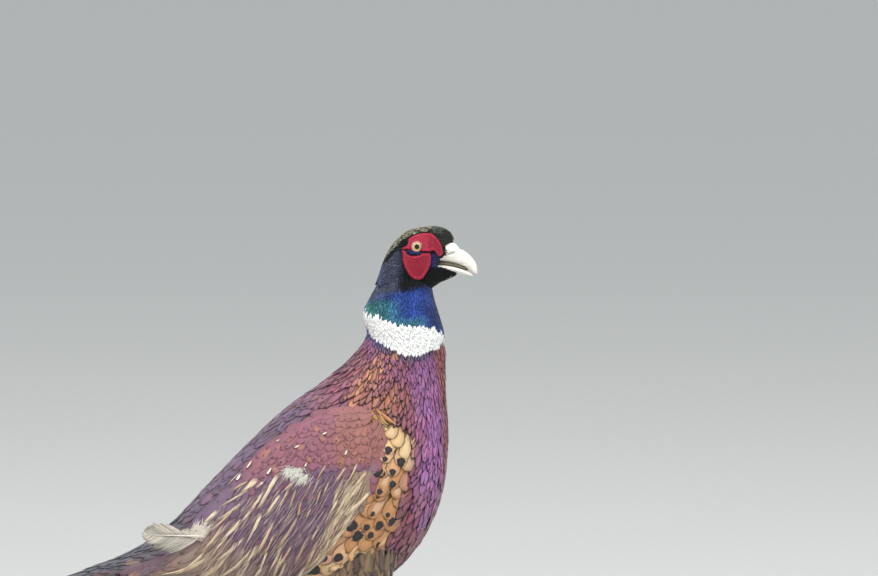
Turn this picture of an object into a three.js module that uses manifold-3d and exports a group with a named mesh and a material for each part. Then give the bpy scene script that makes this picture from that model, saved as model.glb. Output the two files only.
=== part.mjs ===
// A life-size standing cock pheasant, upright and alert, with its bill a little open.
// Millimetres. +X is forward, +Y is the bird's left, +Z is up, and the floor is z = 0.
// The solids give the outline of the feathered bird, down to the tips of its plumage.
import * as THREE from "three";
import { mergeVertices } from "three/addons/utils/BufferGeometryUtils.js";
import Module from "manifold-3d";

const wasm = await Module();
wasm.setup();

// Driving dimensions
const GAP = 0.35; // between neighbouring solids
const TAIL_LENGTH = 468; // central pair, from where it leaves the rump
const TAIL_SLOPE = 20; // degrees below level
const TAIL_ROOT = { x: -128, z: 186 };
const EYE = { x: 83.2, z: 434.6, y: 12.6, radius: 6.6 };
const STANCE = { halfSpread: 32, strideRight: 9, strideLeft: -9 };
const TARSUS_LENGTH = 74;
const TOE_RADIUS = 3.7;
const WATTLE_THICKNESS = 2.4;
const SIDES = { left: 1, right: -1 };

// Sections from the tail to the nape: top and bottom edge in side view [x, z], and half width.
const BODY_SECTIONS = [
  { name: "tail coverts", top: [-182, 176], bottom: [-176, 159], halfWidth: 17 },
  { name: "tail root", top: [-142, 192], bottom: [-126, 164], halfWidth: 29 },
  { name: "rump", top: [-113, 212], bottom: [-92, 157], halfWidth: 43 },
  { name: "loin", top: [-84, 242], bottom: [-52, 150], halfWidth: 55 },
  { name: "back", top: [-50, 277], bottom: [-6, 148], halfWidth: 62 },
  { name: "mid back", top: [-20, 305], bottom: [40, 158], halfWidth: 64 },
  { name: "shoulder", top: [7, 324], bottom: [79, 184], halfWidth: 61 },
  { name: "breast", top: [28, 341], bottom: [103, 226], halfWidth: 54 },
  { name: "crop", top: [40, 354], bottom: [110.5, 276], halfWidth: 44 },
  { name: "neck base", top: [45, 364], bottom: [108.5, 320], halfWidth: 34 },
  { name: "collar", top: [42, 380], bottom: [108, 360], halfWidth: 29 },
  { name: "mid neck", top: [48, 394], bottom: [103.5, 378], halfWidth: 25 },
  { name: "throat", top: [53.5, 404], bottom: [99.5, 391], halfWidth: 21.5 },
  { name: "nape", top: [57, 414], bottom: [97, 402], halfWidth: 19 },
  { name: "inside the head", top: [64, 424], bottom: [94, 412], halfWidth: 14 },
];
const HEAD_SECTIONS = [
  { name: "occiput", top: [54, 410], bottom: [58, 399], halfWidth: 13 },
  { name: "back of the head", top: [58.5, 423], bottom: [70, 394], halfWidth: 17 },
  { name: "ear", top: [67, 437], bottom: [84, 396], halfWidth: 19.2 },
  { name: "cheek", top: [78, 446.5], bottom: [95, 399], halfWidth: 18.8 },
  { name: "eye", top: [91, 449.6], bottom: [103, 404], halfWidth: 15.8 },
  { name: "forehead", top: [103, 449.9], bottom: [110.2, 407.2], halfWidth: 10 },
  { name: "bill base", top: [112, 445.5], bottom: [116.4, 410.2], halfWidth: 6.4 },
  { name: "chin tip", top: [115.5, 439], bottom: [118.6, 413], halfWidth: 4.8 },
];
const UPPER_BILL_SECTIONS = [
  { name: "root", top: [99, 438], bottom: [97, 423], halfWidth: 8 },
  { name: "gape", top: [107, 437.5], bottom: [103, 422], halfWidth: 8.6 },
  { name: "nostril", top: [115, 436.2], bottom: [110, 421.2], halfWidth: 7.5 },
  { name: "middle", top: [121.5, 431.4], bottom: [117.5, 419.6], halfWidth: 6.1 },
  { name: "ridge", top: [127.8, 426.6], bottom: [124.4, 417], halfWidth: 4.6 },
  { name: "hook", top: [132.4, 420.4], bottom: [129.3, 413.8], halfWidth: 2.9 },
  { name: "tip", top: [134.5, 412.8], bottom: [132.2, 411], halfWidth: 1.2 },
];
const LOWER_BILL_SECTIONS = [
  { name: "root", top: [97, 419.6], bottom: [99, 414.6], halfWidth: 7.6 },
  { name: "gape", top: [103, 419.8], bottom: [104.5, 415.4], halfWidth: 8.2 },
  { name: "middle", top: [111.5, 419], bottom: [112.8, 413.8], halfWidth: 6.8 },
  { name: "front", top: [121.5, 416.2], bottom: [121.8, 411.4], halfWidth: 4.8 },
  { name: "tip", top: [131, 411.2], bottom: [131.4, 409.2], halfWidth: 1.7 },
];
// The folded wing lies on the body between an upper and a lower edge, in degrees down from the back line.
const WING_SECTIONS = [
  { at: "tail root", upper: 84, lower: 112, lift: 8.5 },
  { at: "rump", upper: 58, lower: 134, lift: 8 },
  { at: "loin", upper: 42, lower: 138, lift: 6.5 },
  { at: "back", upper: 33, lower: 124, lift: 5.5 },
  { at: "mid back", upper: 33, lower: 104, lift: 5 },
  { at: "shoulder", upper: 40, lower: 93, lift: 4.6 },
  { at: "breast", upper: 64, lower: 79, lift: 2.6 },
];
const WING_SUNK = 3; // how deep the folded wing beds in the side
// Outline of the bare red face in side view, without the bill's corner.
const WATTLE_OUTLINE = [
  [71, 432.6], [76.4, 435.6], [78, 440.6], [83.2, 443.2], [89, 445], [95.4, 445.6], [100.4, 442.9],
  [104, 437.2], [106, 430.3], [104, 426.6], [100.2, 425.8], [95.6, 424.4], [94.4, 416.6], [90.3, 410.4],
  [84.4, 408.1], [78.5, 410.1], [74.4, 415.1], [72.2, 421.7], [71.6, 428.7],
];

// The surface of a body made of sections. Point (s, angle, lift) is s along from 0 to 1, angle in
// radians down from the top edge towards the left side, and lift in millimetres off the surface.
function sectionedSurface(sections) {
  const edge = (key) =>
    new THREE.CatmullRomCurve3(sections.map((f) => new THREE.Vector3(f[key][0], 0, f[key][1])));
  const top = edge("top");
  const bottom = edge("bottom");
  const widths = new THREE.CatmullRomCurve3(
    sections.map((f, i) => new THREE.Vector3(f.halfWidth, i, 0)),
  );
  return (s, angle, lift = 0) => {
    const at = THREE.MathUtils.clamp(s, 0, 1);
    const upper = top.getPoint(at);
    const lower = bottom.getPoint(at);
    const centre = upper.clone().add(lower).multiplyScalar(0.5);
    const rise = upper.sub(centre);
    const depth = rise.length();
    const out = rise.multiplyScalar(((depth + lift) / depth) * Math.cos(angle));
    out.y = (widths.getPoint(at).x + lift) * Math.sin(angle);
    return { centre, out };
  };
}

// A box or sphere geometry bent into shape: place(u, v, w) says where each of its points goes.
function bent(geometry, place) {
  const position = geometry.getAttribute("position");
  const uv = geometry.getAttribute("uv");
  const point = new THREE.Vector3();
  for (let i = 0; i < position.count; i += 1) {
    point.fromBufferAttribute(position, i);
    const to = place(point, uv.getX(i), uv.getY(i));
    position.setXYZ(i, to.x, to.y, to.z);
  }
  return geometry;
}

// The closed solid inside a geometry, for joins and cuts.
function solid(geometry) {
  const bare = geometry.clone();
  bare.deleteAttribute("normal");
  bare.deleteAttribute("uv");
  const merged = mergeVertices(bare, 1e-3);
  const vertProperties = Float32Array.from(merged.getAttribute("position").array);
  const triVerts = Uint32Array.from(merged.index.array);
  const made = new wasm.Manifold(new wasm.Mesh({ numProp: 3, vertProperties, triVerts }));
  if (made.volume() > 0) return made;
  for (let i = 0; i < triVerts.length; i += 3) {
    [triVerts[i + 1], triVerts[i + 2]] = [triVerts[i + 2], triVerts[i + 1]];
  }
  return new wasm.Manifold(new wasm.Mesh({ numProp: 3, vertProperties, triVerts }));
}

// How much the rings of a body crowd towards its rounded ends.
const CROWDING = 0.4;

// A rounded body through sections. cap is the share of its length that each end takes to round off.
function sectionedBody(sections, { around, along, cap, grow = 0 }) {
  const surface = sectionedSurface(sections);
  const sphere = new THREE.SphereGeometry(1, around, along);
  return solid(
    bent(sphere, (point, u, v) => {
      const s = 1 - v + (CROWDING * Math.sin(2 * Math.PI * v)) / (2 * Math.PI);
      const near = Math.min(1, Math.min(s, 1 - s) / cap);
      const size = Math.sqrt(Math.max(0, 1 - (1 - near) ** 2));
      const { centre, out } = surface(s, Math.atan2(point.z, point.x), grow);
      const ahead = surface(s + 0.01, 0).centre.sub(surface(s - 0.01, 0).centre).normalize();
      return centre.addScaledVector(ahead, grow * (2 * s - 1)).addScaledVector(out, size);
    }),
  );
}

// A round limb along a curve. radius(s) gives its size sideways and up, and floor flattens its sole.
function limb(points, { side, radius, around, along, floor = -Infinity, grow = 0 }) {
  const path = new THREE.CatmullRomCurve3(points.map((p) => new THREE.Vector3(...p)));
  const length = path.getLength();
  const sphere = new THREE.SphereGeometry(1, around, along);
  return solid(
    bent(sphere, (point, u, v) => {
      const s = (1 - Math.cos(Math.PI * (1 - v))) / 2;
      const tangent = path.getTangent(s);
      const up = new THREE.Vector3().crossVectors(tangent, side).normalize();
      const across = new THREE.Vector3().crossVectors(up, tangent).normalize();
      const angle = Math.atan2(point.z, point.x);
      const [wide, high] = radius(s);
      const near = Math.min(1, (Math.min(s, 1 - s) * length) / high);
      const round = Math.sqrt(1 - (1 - near) ** 2);
      const at = path.getPoint(s);
      at.addScaledVector(tangent, grow * (2 * s - 1));
      at.addScaledVector(across, round * (wide + grow) * Math.cos(angle));
      at.addScaledVector(up, round * (high + grow) * Math.sin(angle));
      at.z = Math.max(at.z, floor);
      return at;
    }),
  );
}

// Everything on one side of a line [x, z] to [x, z] in side view, left of the line's direction.
const HALF_SPACE = 2000;
function halfSpace([x1, z1], [x2, z2], setBack) {
  const angle = Math.atan2(z2 - z1, x2 - x1);
  const box = new THREE.BoxGeometry(HALF_SPACE, HALF_SPACE, HALF_SPACE);
  box.translate(0, 0, HALF_SPACE / 2 + setBack);
  box.rotateY(-angle);
  box.translate((x1 + x2) / 2, 0, (z1 + z2) / 2);
  return solid(box);
}

const bodySurface = sectionedSurface(BODY_SECTIONS);
const sectionAt = (name) =>
  BODY_SECTIONS.findIndex((f) => f.name === name) / (BODY_SECTIONS.length - 1);

// A folded wing: a plate bent round the side of the body, thinning to its edges.
function wing(sign, grow = 0) {
  const stations = WING_SECTIONS.map((f) => sectionAt(f.at));
  const run = new THREE.CatmullRomCurve3(stations.map((s) => new THREE.Vector3(s, 0, 0)));
  const edges = new THREE.CatmullRomCurve3(
    WING_SECTIONS.map((f) => new THREE.Vector3(f.upper, f.lower, f.lift)),
  );
  const box = new THREE.BoxGeometry(1, 1, 1, 12, 5, 1);
  return solid(
    bent(box, (point) => {
      const u = point.x + 0.5;
      const v = point.y + 0.5;
      const s = run.getPoint(u).x + Math.sign(point.x) * grow * 0.0016 * (Math.abs(point.x) > 0.49);
      const { x: upper, y: lower, z: lift } = edges.getPoint(u);
      const girth = bodySurface(s, Math.PI / 2).out.length();
      const spare = Math.abs(point.y) > 0.49 ? (Math.sign(point.y) * grow) / girth : 0;
      const angle = THREE.MathUtils.degToRad(upper + (lower - upper) * v) + spare;
      const bulge = Math.sqrt(Math.sin(Math.PI * THREE.MathUtils.clamp(v, 0.06, 0.94)));
      const outer = -WING_SUNK + (lift + WING_SUNK) * bulge + grow;
      const { centre, out } = bodySurface(s, sign * angle, point.z > 0 ? outer : -WING_SUNK - 0.6 - grow);
      return centre.add(out);
    }),
  );
}

// The bare red skin of one side of the face, standing a little proud of the head.
function wattle(sign, head, grow = 0) {
  const outline = new THREE.Shape();
  outline.setFromPoints(
    new THREE.SplineCurve(
      [...WATTLE_OUTLINE, WATTLE_OUTLINE[0]].map(([x, z]) => new THREE.Vector2(x, z)),
    ).getPoints(24).slice(0, -1),
  );
  const slab = new THREE.ExtrudeGeometry(outline, { depth: 40, bevelEnabled: false });
  slab.rotateX(Math.PI / 2);
  slab.translate(0, sign > 0 ? 44 : -4, 0);
  const face = sectionedBody(HEAD_SECTIONS, { ...HEAD_MESH, grow: WATTLE_THICKNESS + grow });
  return solid(slab).intersect(face).subtract(head);
}

function eyeball(sign, grow = 0) {
  const ball = new THREE.SphereGeometry(EYE.radius + grow, 12, 8);
  ball.scale(1, 0.95, 1);
  ball.translate(EYE.x, sign * EYE.y, EYE.z);
  return solid(ball);
}

// The feathered drumstick, from the belly to the ankle.
function thigh(sign, stride, grow = 0) {
  const y = sign * STANCE.halfSpread;
  return limb(
    [[stride + 26, y * 0.9, 206], [stride + 22, y * 0.98, 168], [stride + 3, y, 122], [stride - 13, y, 80]],
    {
      side: new THREE.Vector3(0, 1, 0),
      radius: (s) => [24 * (1 - s) ** 0.8 + 5.6 * s, 38 * (1 - s) ** 0.85 + 6.4 * s],
      around: 14,
      along: 8,
      grow,
    },
  );
}

// Where the toes meet, under the tarsus.
const toeJoint = (sign, stride) => [stride + 8, sign * STANCE.halfSpread, 8];

function tarsus(sign, stride, grow = 0) {
  const [x, y, z] = toeJoint(sign, stride);
  const lean = Math.asin(21 / TARSUS_LENGTH);
  const ankle = [x - Math.sin(lean) * TARSUS_LENGTH, y, z + Math.cos(lean) * TARSUS_LENGTH];
  return limb([ankle, [x - 11, y, z + 38], [x - 4.5, y, z + 14], [x, y, z - 4]], {
    side: new THREE.Vector3(0, 1, 0),
    radius: (s) => [3.5 + 1.5 * (2 * s - 1) ** 4, 4.2 + 2.0 * (2 * s - 1) ** 4],
    around: 10,
    along: 8,
    floor: 1.2,
    grow,
  });
}

// One toe: how far it turns from straight ahead, and its length without the claw.
const TOES = [
  { name: "inner", turn: -34, length: 40, pads: 2 },
  { name: "middle", turn: 2, length: 54, pads: 3 },
  { name: "outer", turn: 38, length: 42, pads: 3 },
  { name: "hind", turn: 168, length: 17, pads: 1 },
];

function toe(sign, stride, { turn, length, pads }) {
  const [x, y] = toeJoint(sign, stride);
  const angle = THREE.MathUtils.degToRad(turn) * sign;
  const ahead = new THREE.Vector3(Math.cos(angle), Math.sin(angle), 0);
  const along = (d, z) => [x + ahead.x * d, y + ahead.y * d, z];
  const taper = (s) => TOE_RADIUS * (1.08 - 0.36 * s);
  const swell = (s) => 1 + 0.1 * Math.cos(2 * Math.PI * pads * s);
  return limb(
    [along(-2, TOE_RADIUS + 1.6), along(length * 0.3, TOE_RADIUS + 0.8), along(length * 0.7, TOE_RADIUS - 0.4),
      along(length, TOE_RADIUS - 1)],
    {
      side: new THREE.Vector3(-ahead.y, ahead.x, 0),
      radius: (s) => [taper(s) * swell(s), taper(s) * swell(s) * 1.04],
      around: 8,
      along: 7,
      floor: 0,
    },
  );
}

function claw(sign, stride, { turn, length }, grow = 0) {
  const [x, y] = toeJoint(sign, stride);
  const angle = THREE.MathUtils.degToRad(turn) * sign;
  const ahead = new THREE.Vector3(Math.cos(angle), Math.sin(angle), 0);
  const along = (d, z) => [x + ahead.x * d, y + ahead.y * d, z];
  return limb(
    [along(length - 2.4, 3.1), along(length + 3, 4.1), along(length + 7, 3), along(length + 10.5, 0.7)],
    {
      side: new THREE.Vector3(-ahead.y, ahead.x, 0),
      radius: (s) => [0.5 + 1.5 * (1 - s), 0.5 + 2.0 * (1 - s)],
      around: 6,
      along: 4,
      floor: 0,
      grow,
    },
  );
}

function spur(sign, stride, grow = 0) {
  const [x, y, z] = toeJoint(sign, stride);
  return limb([[x - 7, y - sign * 1.5, z + 21], [x - 14, y - sign * 4, z + 22], [x - 20, y - sign * 5.5, z + 26]], {
    side: new THREE.Vector3(0, 1, 0),
    radius: (s) => [0.4 + 2.8 * (1 - s), 0.4 + 3 * (1 - s)],
    around: 8,
    along: 5,
    grow,
  });
}

// A flat bundle of tail feathers in the tail's own slope: along it, across it and through it.
function tailBlade({ length, inner, outer, tipInner, tipOuter, thick, drop, droop = 0 }, sign, grow = 0) {
  const slope = THREE.MathUtils.degToRad(TAIL_SLOPE);
  const box = new THREE.BoxGeometry(1, 1, 1, 10, 2, 1);
  return solid(
    bent(box, (point) => {
      const u = THREE.MathUtils.clamp(point.x + 0.5, 0, 1);
      const along = u * length + Math.sign(point.x) * grow * (Math.abs(point.x) > 0.49);
      const taper = Math.sqrt(Math.max(0.004, 1 - Math.max(0, (u - 0.86) / 0.14) ** 2));
      const shape = u ** 0.8;
      const inside = inner * (1 - shape) + tipInner * shape;
      const width = (outer - inner) * (1 - shape) + (tipOuter - tipInner) * shape;
      const across = inside + (point.y + 0.5) * width * taper + Math.sign(point.y) * grow;
      const depth = Math.max(0.8, thick * (1 - 0.8 * u));
      const roof = -0.16 * Math.max(0, across - 2) - droop * u * u;
      const through = roof - drop * (1 - 0.7 * u) + point.z * depth + Math.sign(point.z) * grow;
      return new THREE.Vector3(
        TAIL_ROOT.x - along * Math.cos(slope) - through * Math.sin(slope) * 0.3,
        sign * across,
        TAIL_ROOT.z - along * Math.sin(slope) + through,
      );
    }),
  );
}
const CENTRAL_BLADE = {
  length: TAIL_LENGTH, inner: 0.4, outer: 25, tipInner: 0.4, tipOuter: 13, thick: 2.4, drop: 0,
};
const SIDE_BLADE = {
  length: TAIL_LENGTH * 0.82, inner: 0.4, outer: 31, tipInner: 2, tipOuter: 12, thick: 9, drop: 7.2, droop: 2.4,
};

// The pale feather that stands out of place at the end of the right wing.
const LOOSE_FEATHER = { root: [-89.4, -52, 204.4], tip: [-138.6, -55, 206.2], halfWidth: 13, thick: 0.9 };
function looseFeather() {
  const root = new THREE.Vector3(...LOOSE_FEATHER.root);
  const tip = new THREE.Vector3(...LOOSE_FEATHER.tip);
  const box = new THREE.BoxGeometry(1, 1, 1, 8, 3, 1);
  return solid(
    bent(box, (point) => {
      const u = point.x + 0.5;
      const half = LOOSE_FEATHER.halfWidth * Math.sqrt(Math.sin(Math.PI * (0.06 + 0.87 * u)));
      const at = root.clone().lerp(tip, u);
      at.z += point.y * 2 * half;
      at.y += point.z * LOOSE_FEATHER.thick - 3 * (point.y * 2) ** 2 - 2 * u;
      return at;
    }),
  );
}

const HEAD_MESH = { around: 20, along: 12, cap: 0.16 };
const wholeBody = sectionedBody(BODY_SECTIONS, { around: 24, along: 26, cap: 0.06 });
const wholeHead = sectionedBody(HEAD_SECTIONS, HEAD_MESH);
const BILL_MESH = { around: 10, along: 9, cap: 0.12 };
const upperBill = sectionedBody(UPPER_BILL_SECTIONS, BILL_MESH);
const lowerBill = sectionedBody(LOWER_BILL_SECTIONS, BILL_MESH);
const billRoom = [UPPER_BILL_SECTIONS, LOWER_BILL_SECTIONS].map((sections) =>
  sectionedBody(sections, { ...BILL_MESH, grow: GAP }),
);

const solids = new Map();

let flesh = wholeBody.add(wholeHead);
for (const room of billRoom) flesh = flesh.subtract(room);
solids.set("bill_upper", upperBill);
solids.set("bill_lower", lowerBill.subtract(billRoom[0]));

const headRoom = sectionedBody(HEAD_SECTIONS, { ...HEAD_MESH, grow: GAP });
for (const [side, sign] of Object.entries(SIDES)) {
  const stride = side === "left" ? STANCE.strideLeft : STANCE.strideRight;
  const eyeRoom = eyeball(sign, GAP);
  solids.set(`eye_${side}`, eyeball(sign));
  let face = wattle(sign, headRoom).subtract(eyeRoom);
  for (const room of billRoom) face = face.subtract(room);
  solids.set(`wattle_${side}`, face);
  flesh = flesh.subtract(eyeRoom);

  solids.set(`wing_${side}`, wing(sign));
  flesh = flesh.subtract(wing(sign, GAP));

  const leg = thigh(sign, stride);
  const shank = tarsus(sign, stride);
  const foot = TOES.map((t) => toe(sign, stride, t)).reduce((a, b) => a.add(b));
  solids.set(`thigh_${side}`, leg.subtract(tarsus(sign, stride, GAP)).subtract(wing(sign, GAP)));
  flesh = flesh.subtract(thigh(sign, stride, GAP));
  const clawRooms = TOES.map((t) => claw(sign, stride, t, GAP)).reduce((a, b) => a.add(b));
  solids.set(`foot_${side}`, foot.subtract(tarsus(sign, stride, GAP)).subtract(clawRooms));
  solids.set(`tarsus_${side}`, shank.subtract(spur(sign, stride, GAP)));
  solids.set(`spur_${side}`, spur(sign, stride));
  for (const t of TOES) solids.set(`claw_${t.name}_${side}`, claw(sign, stride, t));

  const central = tailBlade(CENTRAL_BLADE, sign);
  const fan = tailBlade(SIDE_BLADE, sign)
    .subtract(tailBlade(CENTRAL_BLADE, sign, GAP))
    .subtract(wing(sign, GAP));
  solids.set(`tail_central_${side}`, central);
  solids.set(`tail_side_${side}`, fan);
  flesh = flesh.subtract(tailBlade(CENTRAL_BLADE, sign, GAP)).subtract(tailBlade(SIDE_BLADE, sign, GAP));
}
solids.set("loose_feather", looseFeather().subtract(wing(SIDES.right, GAP)));

// The flesh is parted where a person would name its parts.
const PARTINGS = [
  { below: "rump", line: [[-104, 240], [-78, 140]] },
  { below: "trunk", line: [[34, 349], [112, 262]] },
  { below: "neck_lower", line: [[40, 387], [112, 366]] },
  { below: "neck_upper", line: [[52, 409], [102, 396]] },
];
let rest = flesh;
for (const { below, line } of PARTINGS) {
  solids.set(below, rest.subtract(halfSpace(line[0], line[1], -GAP / 2)));
  rest = rest.intersect(halfSpace(line[0], line[1], GAP / 2));
}
solids.set("head", rest);

// Colours, from the photograph, and how each surface shines
const FINISHES = {
  head: { color: 0x18302e, roughness: 0.45 },
  neck_upper: { color: 0x24407a, roughness: 0.4 },
  neck_lower: { color: 0xf2f0ea, roughness: 0.8 },
  trunk: { color: 0x7a4156, roughness: 0.55 },
  rump: { color: 0x66627c, roughness: 0.6 },
  wing: { color: 0x7c5a6c, roughness: 0.65 },
  tail: { color: 0x8a7350, roughness: 0.7 },
  thigh: { color: 0x5a3524, roughness: 0.75 },
  wattle: { color: 0xb32436, roughness: 0.6 },
  eye: { color: 0xd8b45a, roughness: 0.1 },
  bill: { color: 0xe9e4cf, roughness: 0.4 },
  tarsus: { color: 0x7d7a70, roughness: 0.6 },
  foot: { color: 0x7d7a70, roughness: 0.6 },
  claw: { color: 0x3c3832, roughness: 0.45 },
  spur: { color: 0x4a453d, roughness: 0.45 },
  loose: { color: 0xcfc6ba, roughness: 0.8 },
};

function finishOf(name) {
  const key = FINISHES[name] ? name : name.split("_")[0];
  return new THREE.MeshStandardMaterial({ name: key, metalness: 0, ...FINISHES[key] });
}

// A named mesh of a solid's only body. Slivers left by a cut are dropped.
function meshOf(name, shape) {
  const main = shape.decompose().reduce((a, b) => (a.volume() > b.volume() ? a : b));
  const { numProp, vertProperties, triVerts } = main.getMesh();
  const position = new Float32Array((vertProperties.length / numProp) * 3);
  for (let i = 0; i < position.length / 3; i += 1) {
    position.set(vertProperties.subarray(i * numProp, i * numProp + 3), i * 3);
  }
  const geometry = new THREE.BufferGeometry();
  geometry.setAttribute("position", new THREE.BufferAttribute(position, 3));
  geometry.setIndex(new THREE.BufferAttribute(triVerts, 1));
  geometry.computeVertexNormals();
  const mesh = new THREE.Mesh(geometry, finishOf(name));
  mesh.name = name;
  return mesh;
}

// The origin is on the floor, at the middle of the bird's length and width.
const pheasant = new THREE.Group();
for (const [name, shape] of solids) pheasant.add(meshOf(name, shape));
const box = new THREE.Box3().setFromObject(pheasant, true);
const middle = box.getCenter(new THREE.Vector3());
pheasant.position.set(-middle.x, -middle.y, -box.min.z);
pheasant.updateMatrixWorld(true);

export default pheasant;
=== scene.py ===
"""A life-size cock pheasant: skin, plumage, bare face, bill, eyes, legs and a plain studio."""

import math

import bpy
import numpy as np
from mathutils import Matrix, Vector, noise


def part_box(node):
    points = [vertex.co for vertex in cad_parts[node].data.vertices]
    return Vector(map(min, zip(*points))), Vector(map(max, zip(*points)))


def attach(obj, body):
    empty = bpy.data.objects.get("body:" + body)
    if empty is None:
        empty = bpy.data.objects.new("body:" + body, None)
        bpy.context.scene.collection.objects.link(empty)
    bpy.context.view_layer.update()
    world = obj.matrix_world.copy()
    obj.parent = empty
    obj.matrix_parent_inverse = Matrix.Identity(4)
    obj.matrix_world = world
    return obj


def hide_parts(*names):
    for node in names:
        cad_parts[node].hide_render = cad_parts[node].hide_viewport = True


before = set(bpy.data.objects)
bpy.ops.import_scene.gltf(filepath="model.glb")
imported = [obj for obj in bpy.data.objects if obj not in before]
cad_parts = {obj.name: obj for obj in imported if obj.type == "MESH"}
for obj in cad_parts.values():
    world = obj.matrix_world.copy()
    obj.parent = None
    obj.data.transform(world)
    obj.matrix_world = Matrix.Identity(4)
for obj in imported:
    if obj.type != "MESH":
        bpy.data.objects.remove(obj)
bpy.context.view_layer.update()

bl_info = {
    "name": "Cock Pheasant",
    "version": (1, 0, 0),
    "blender": (4, 5, 0),
    "location": "View3D > Sidebar > Pheasant",
    "description": "Feathers a life-size cock pheasant over its solid frame",
    "category": "Object",
}

# Sizes in this file are in millimetres in the drawing's own place, where x is 0 under the belly.
# SHIFT moves them to the frame, whose eye stands at EYE in the drawing.
MM = 0.001
EYE = np.array([83.2, 13.3, 434.6])
EYE_RADIUS = 5.8
SHIFT = np.array([sum(c.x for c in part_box("eye_right")) / 2 / MM - EYE[0], 0.0, 0.0])

# Sections of the feathered body from the tail to the nape: top x, z, bottom x, z and half width.
BODY = np.array([
    (-182, 176, -176, 159, 17),
    (-142, 192, -126, 164, 29),
    (-113, 212, -92, 157, 43),
    (-84, 242, -52, 150, 55),
    (-50, 277, -6, 148, 62),
    (-20, 305, 40, 158, 64),
    (7, 324, 79, 184, 61),
    (28, 341, 103, 226, 54),
    (40, 354, 110.5, 276, 44),
    (45, 364, 108.5, 320, 34),
    (42, 380, 108, 360, 29),
    (48, 394, 103.5, 378, 25),
    (53.5, 404, 99.5, 391, 21.5),
    (57, 414, 97, 402, 19),
    (64, 424, 94, 412, 14),
])
HEAD = np.array([
    (54, 410, 58, 399, 13),
    (58.5, 423, 70, 394, 17),
    (67, 437, 84, 396, 19.2),
    (78, 446.5, 95, 399, 18.8),
    (91, 449.6, 103, 404, 15.8),
    (103, 449.9, 110.2, 407.2, 10),
    (112, 445.5, 116.4, 410.2, 6.4),
    (115.5, 439, 118.6, 413, 4.8),
])
UPPER_BILL = np.array([
    (99, 438, 97, 423, 8),
    (107, 437.5, 103, 422, 8.6),
    (115, 436.2, 110, 421.2, 7.5),
    (121.5, 431.4, 117.5, 419.6, 6.1),
    (127.8, 426.6, 124.4, 417, 4.6),
    (132.4, 420.4, 129.3, 413.8, 2.9),
    (134.5, 412.8, 132.2, 411, 1.2),
])
LOWER_BILL = np.array([
    (97, 419.6, 99, 414.6, 7.6),
    (103, 419.8, 104.5, 415.4, 8.2),
    (111.5, 419, 112.8, 413.8, 6.8),
    (121.5, 416.2, 121.8, 411.4, 4.8),
    (131, 411.2, 131.4, 409.2, 1.7),
])
# The folded wing on the body: section, upper and lower edge in degrees from the back, and lift.
WING = np.array([
    (1, 84, 112, 8.5),
    (2, 58, 134, 8),
    (3, 42, 138, 6.5),
    (4, 33, 124, 5.5),
    (5, 33, 104, 5),
    (6, 40, 93, 4.6),
    (7, 64, 79, 2.6),
])
WING_SUNK = 3
# Places of markings below are in a view a little from behind and above, where a point moves forward
# and down by LEAN of its distance from the middle of the bird.
LEAN = 0.0698
COLLAR_TOP = np.array([
    (40, 384), (45, 379.5), (50, 377), (55, 375.3), (60, 372.8), (66, 371.5), (75, 368.8), (82, 368.2),
    (92, 368.8), (98, 368.2), (102, 365.5), (105, 363), (110, 361),
])
COLLAR_LOW = np.array([
    (40, 377), (43.2, 370.8), (46.4, 366), (48.8, 362), (52.8, 358.8), (57.6, 355.6), (62.4, 352.4),
    (68.8, 349.2), (74.4, 346.8), (80.8, 345.2), (86.4, 346), (91.2, 348.4), (96, 350), (101.6, 350.4),
    (104.8, 353.2), (107, 356.4), (110, 359.5),
])
# The two bare red lobes of the face, above and below the dark line under the eye.
BROW_LOBE = np.array([
    (72.1, 432), (74.2, 433.2), (76.8, 434.6), (78.2, 436.4), (78.3, 439.8), (80, 441.3), (82.9, 443),
    (87.3, 444.2), (91.6, 444.9), (95.9, 444.9), (98.1, 443.8), (101, 441.3), (103.1, 438.8),
    (105, 435.2), (106, 431.5), (106.8, 428.3), (105.3, 426.2), (103.5, 425.3), (101.7, 425.8),
    (100.6, 427.9), (99.3, 429.9), (97.7, 430.2), (96.4, 429.4), (93, 429.5), (89.6, 429.6), (85.5, 430),
    (81.5, 430.6), (77.6, 431.5), (74.2, 431.3),
])
CHEEK_LOBE = np.array([
    (73, 431.6), (73.6, 427.5), (73.7, 424.3), (74.2, 420.7), (75.7, 416.4), (77.5, 412.8), (79.7, 409.9),
    (82.6, 407.5), (86.6, 406.6), (90.3, 408), (92.6, 411.4), (94.5, 414.6), (96.2, 418.6), (96.8, 422.9),
    (96.6, 426.5), (95.9, 428.5), (93, 428.8), (89.4, 428.6), (87.3, 426.9), (83.6, 426.4), (80, 426.6),
    (77.5, 427.8), (76.4, 430.4),
])
# Where the horn of the bill begins, and the pale cap and the black line under it.
HORN = np.array([
    (101.2, 418.4), (102.6, 421.4), (104.8, 423.6), (108, 425.6), (112, 428), (110.4, 430), (109, 432.4),
    (109.2, 434.6), (112, 437.2), (118, 438), (136, 430), (138, 405), (126, 408), (116.8, 412.8),
    (112, 414.4), (109.6, 416), (106.4, 417),
])
CROWN_LOW = np.array([
    (56, 421), (62.4, 427.6), (68.8, 434), (72, 438), (75.2, 439.6), (79.2, 442.8), (83.2, 443.6),
    (85.6, 444.8), (89.6, 445.6), (93.6, 446.8), (98, 448.2),
])
BLACK_LOW = np.array([
    (56, 417), (65.6, 426), (68.8, 430.8), (73.6, 435.8), (77.6, 440.4), (81.6, 442), (86.4, 443.6),
    (91.2, 444.8), (98, 445.4),
])
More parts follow.
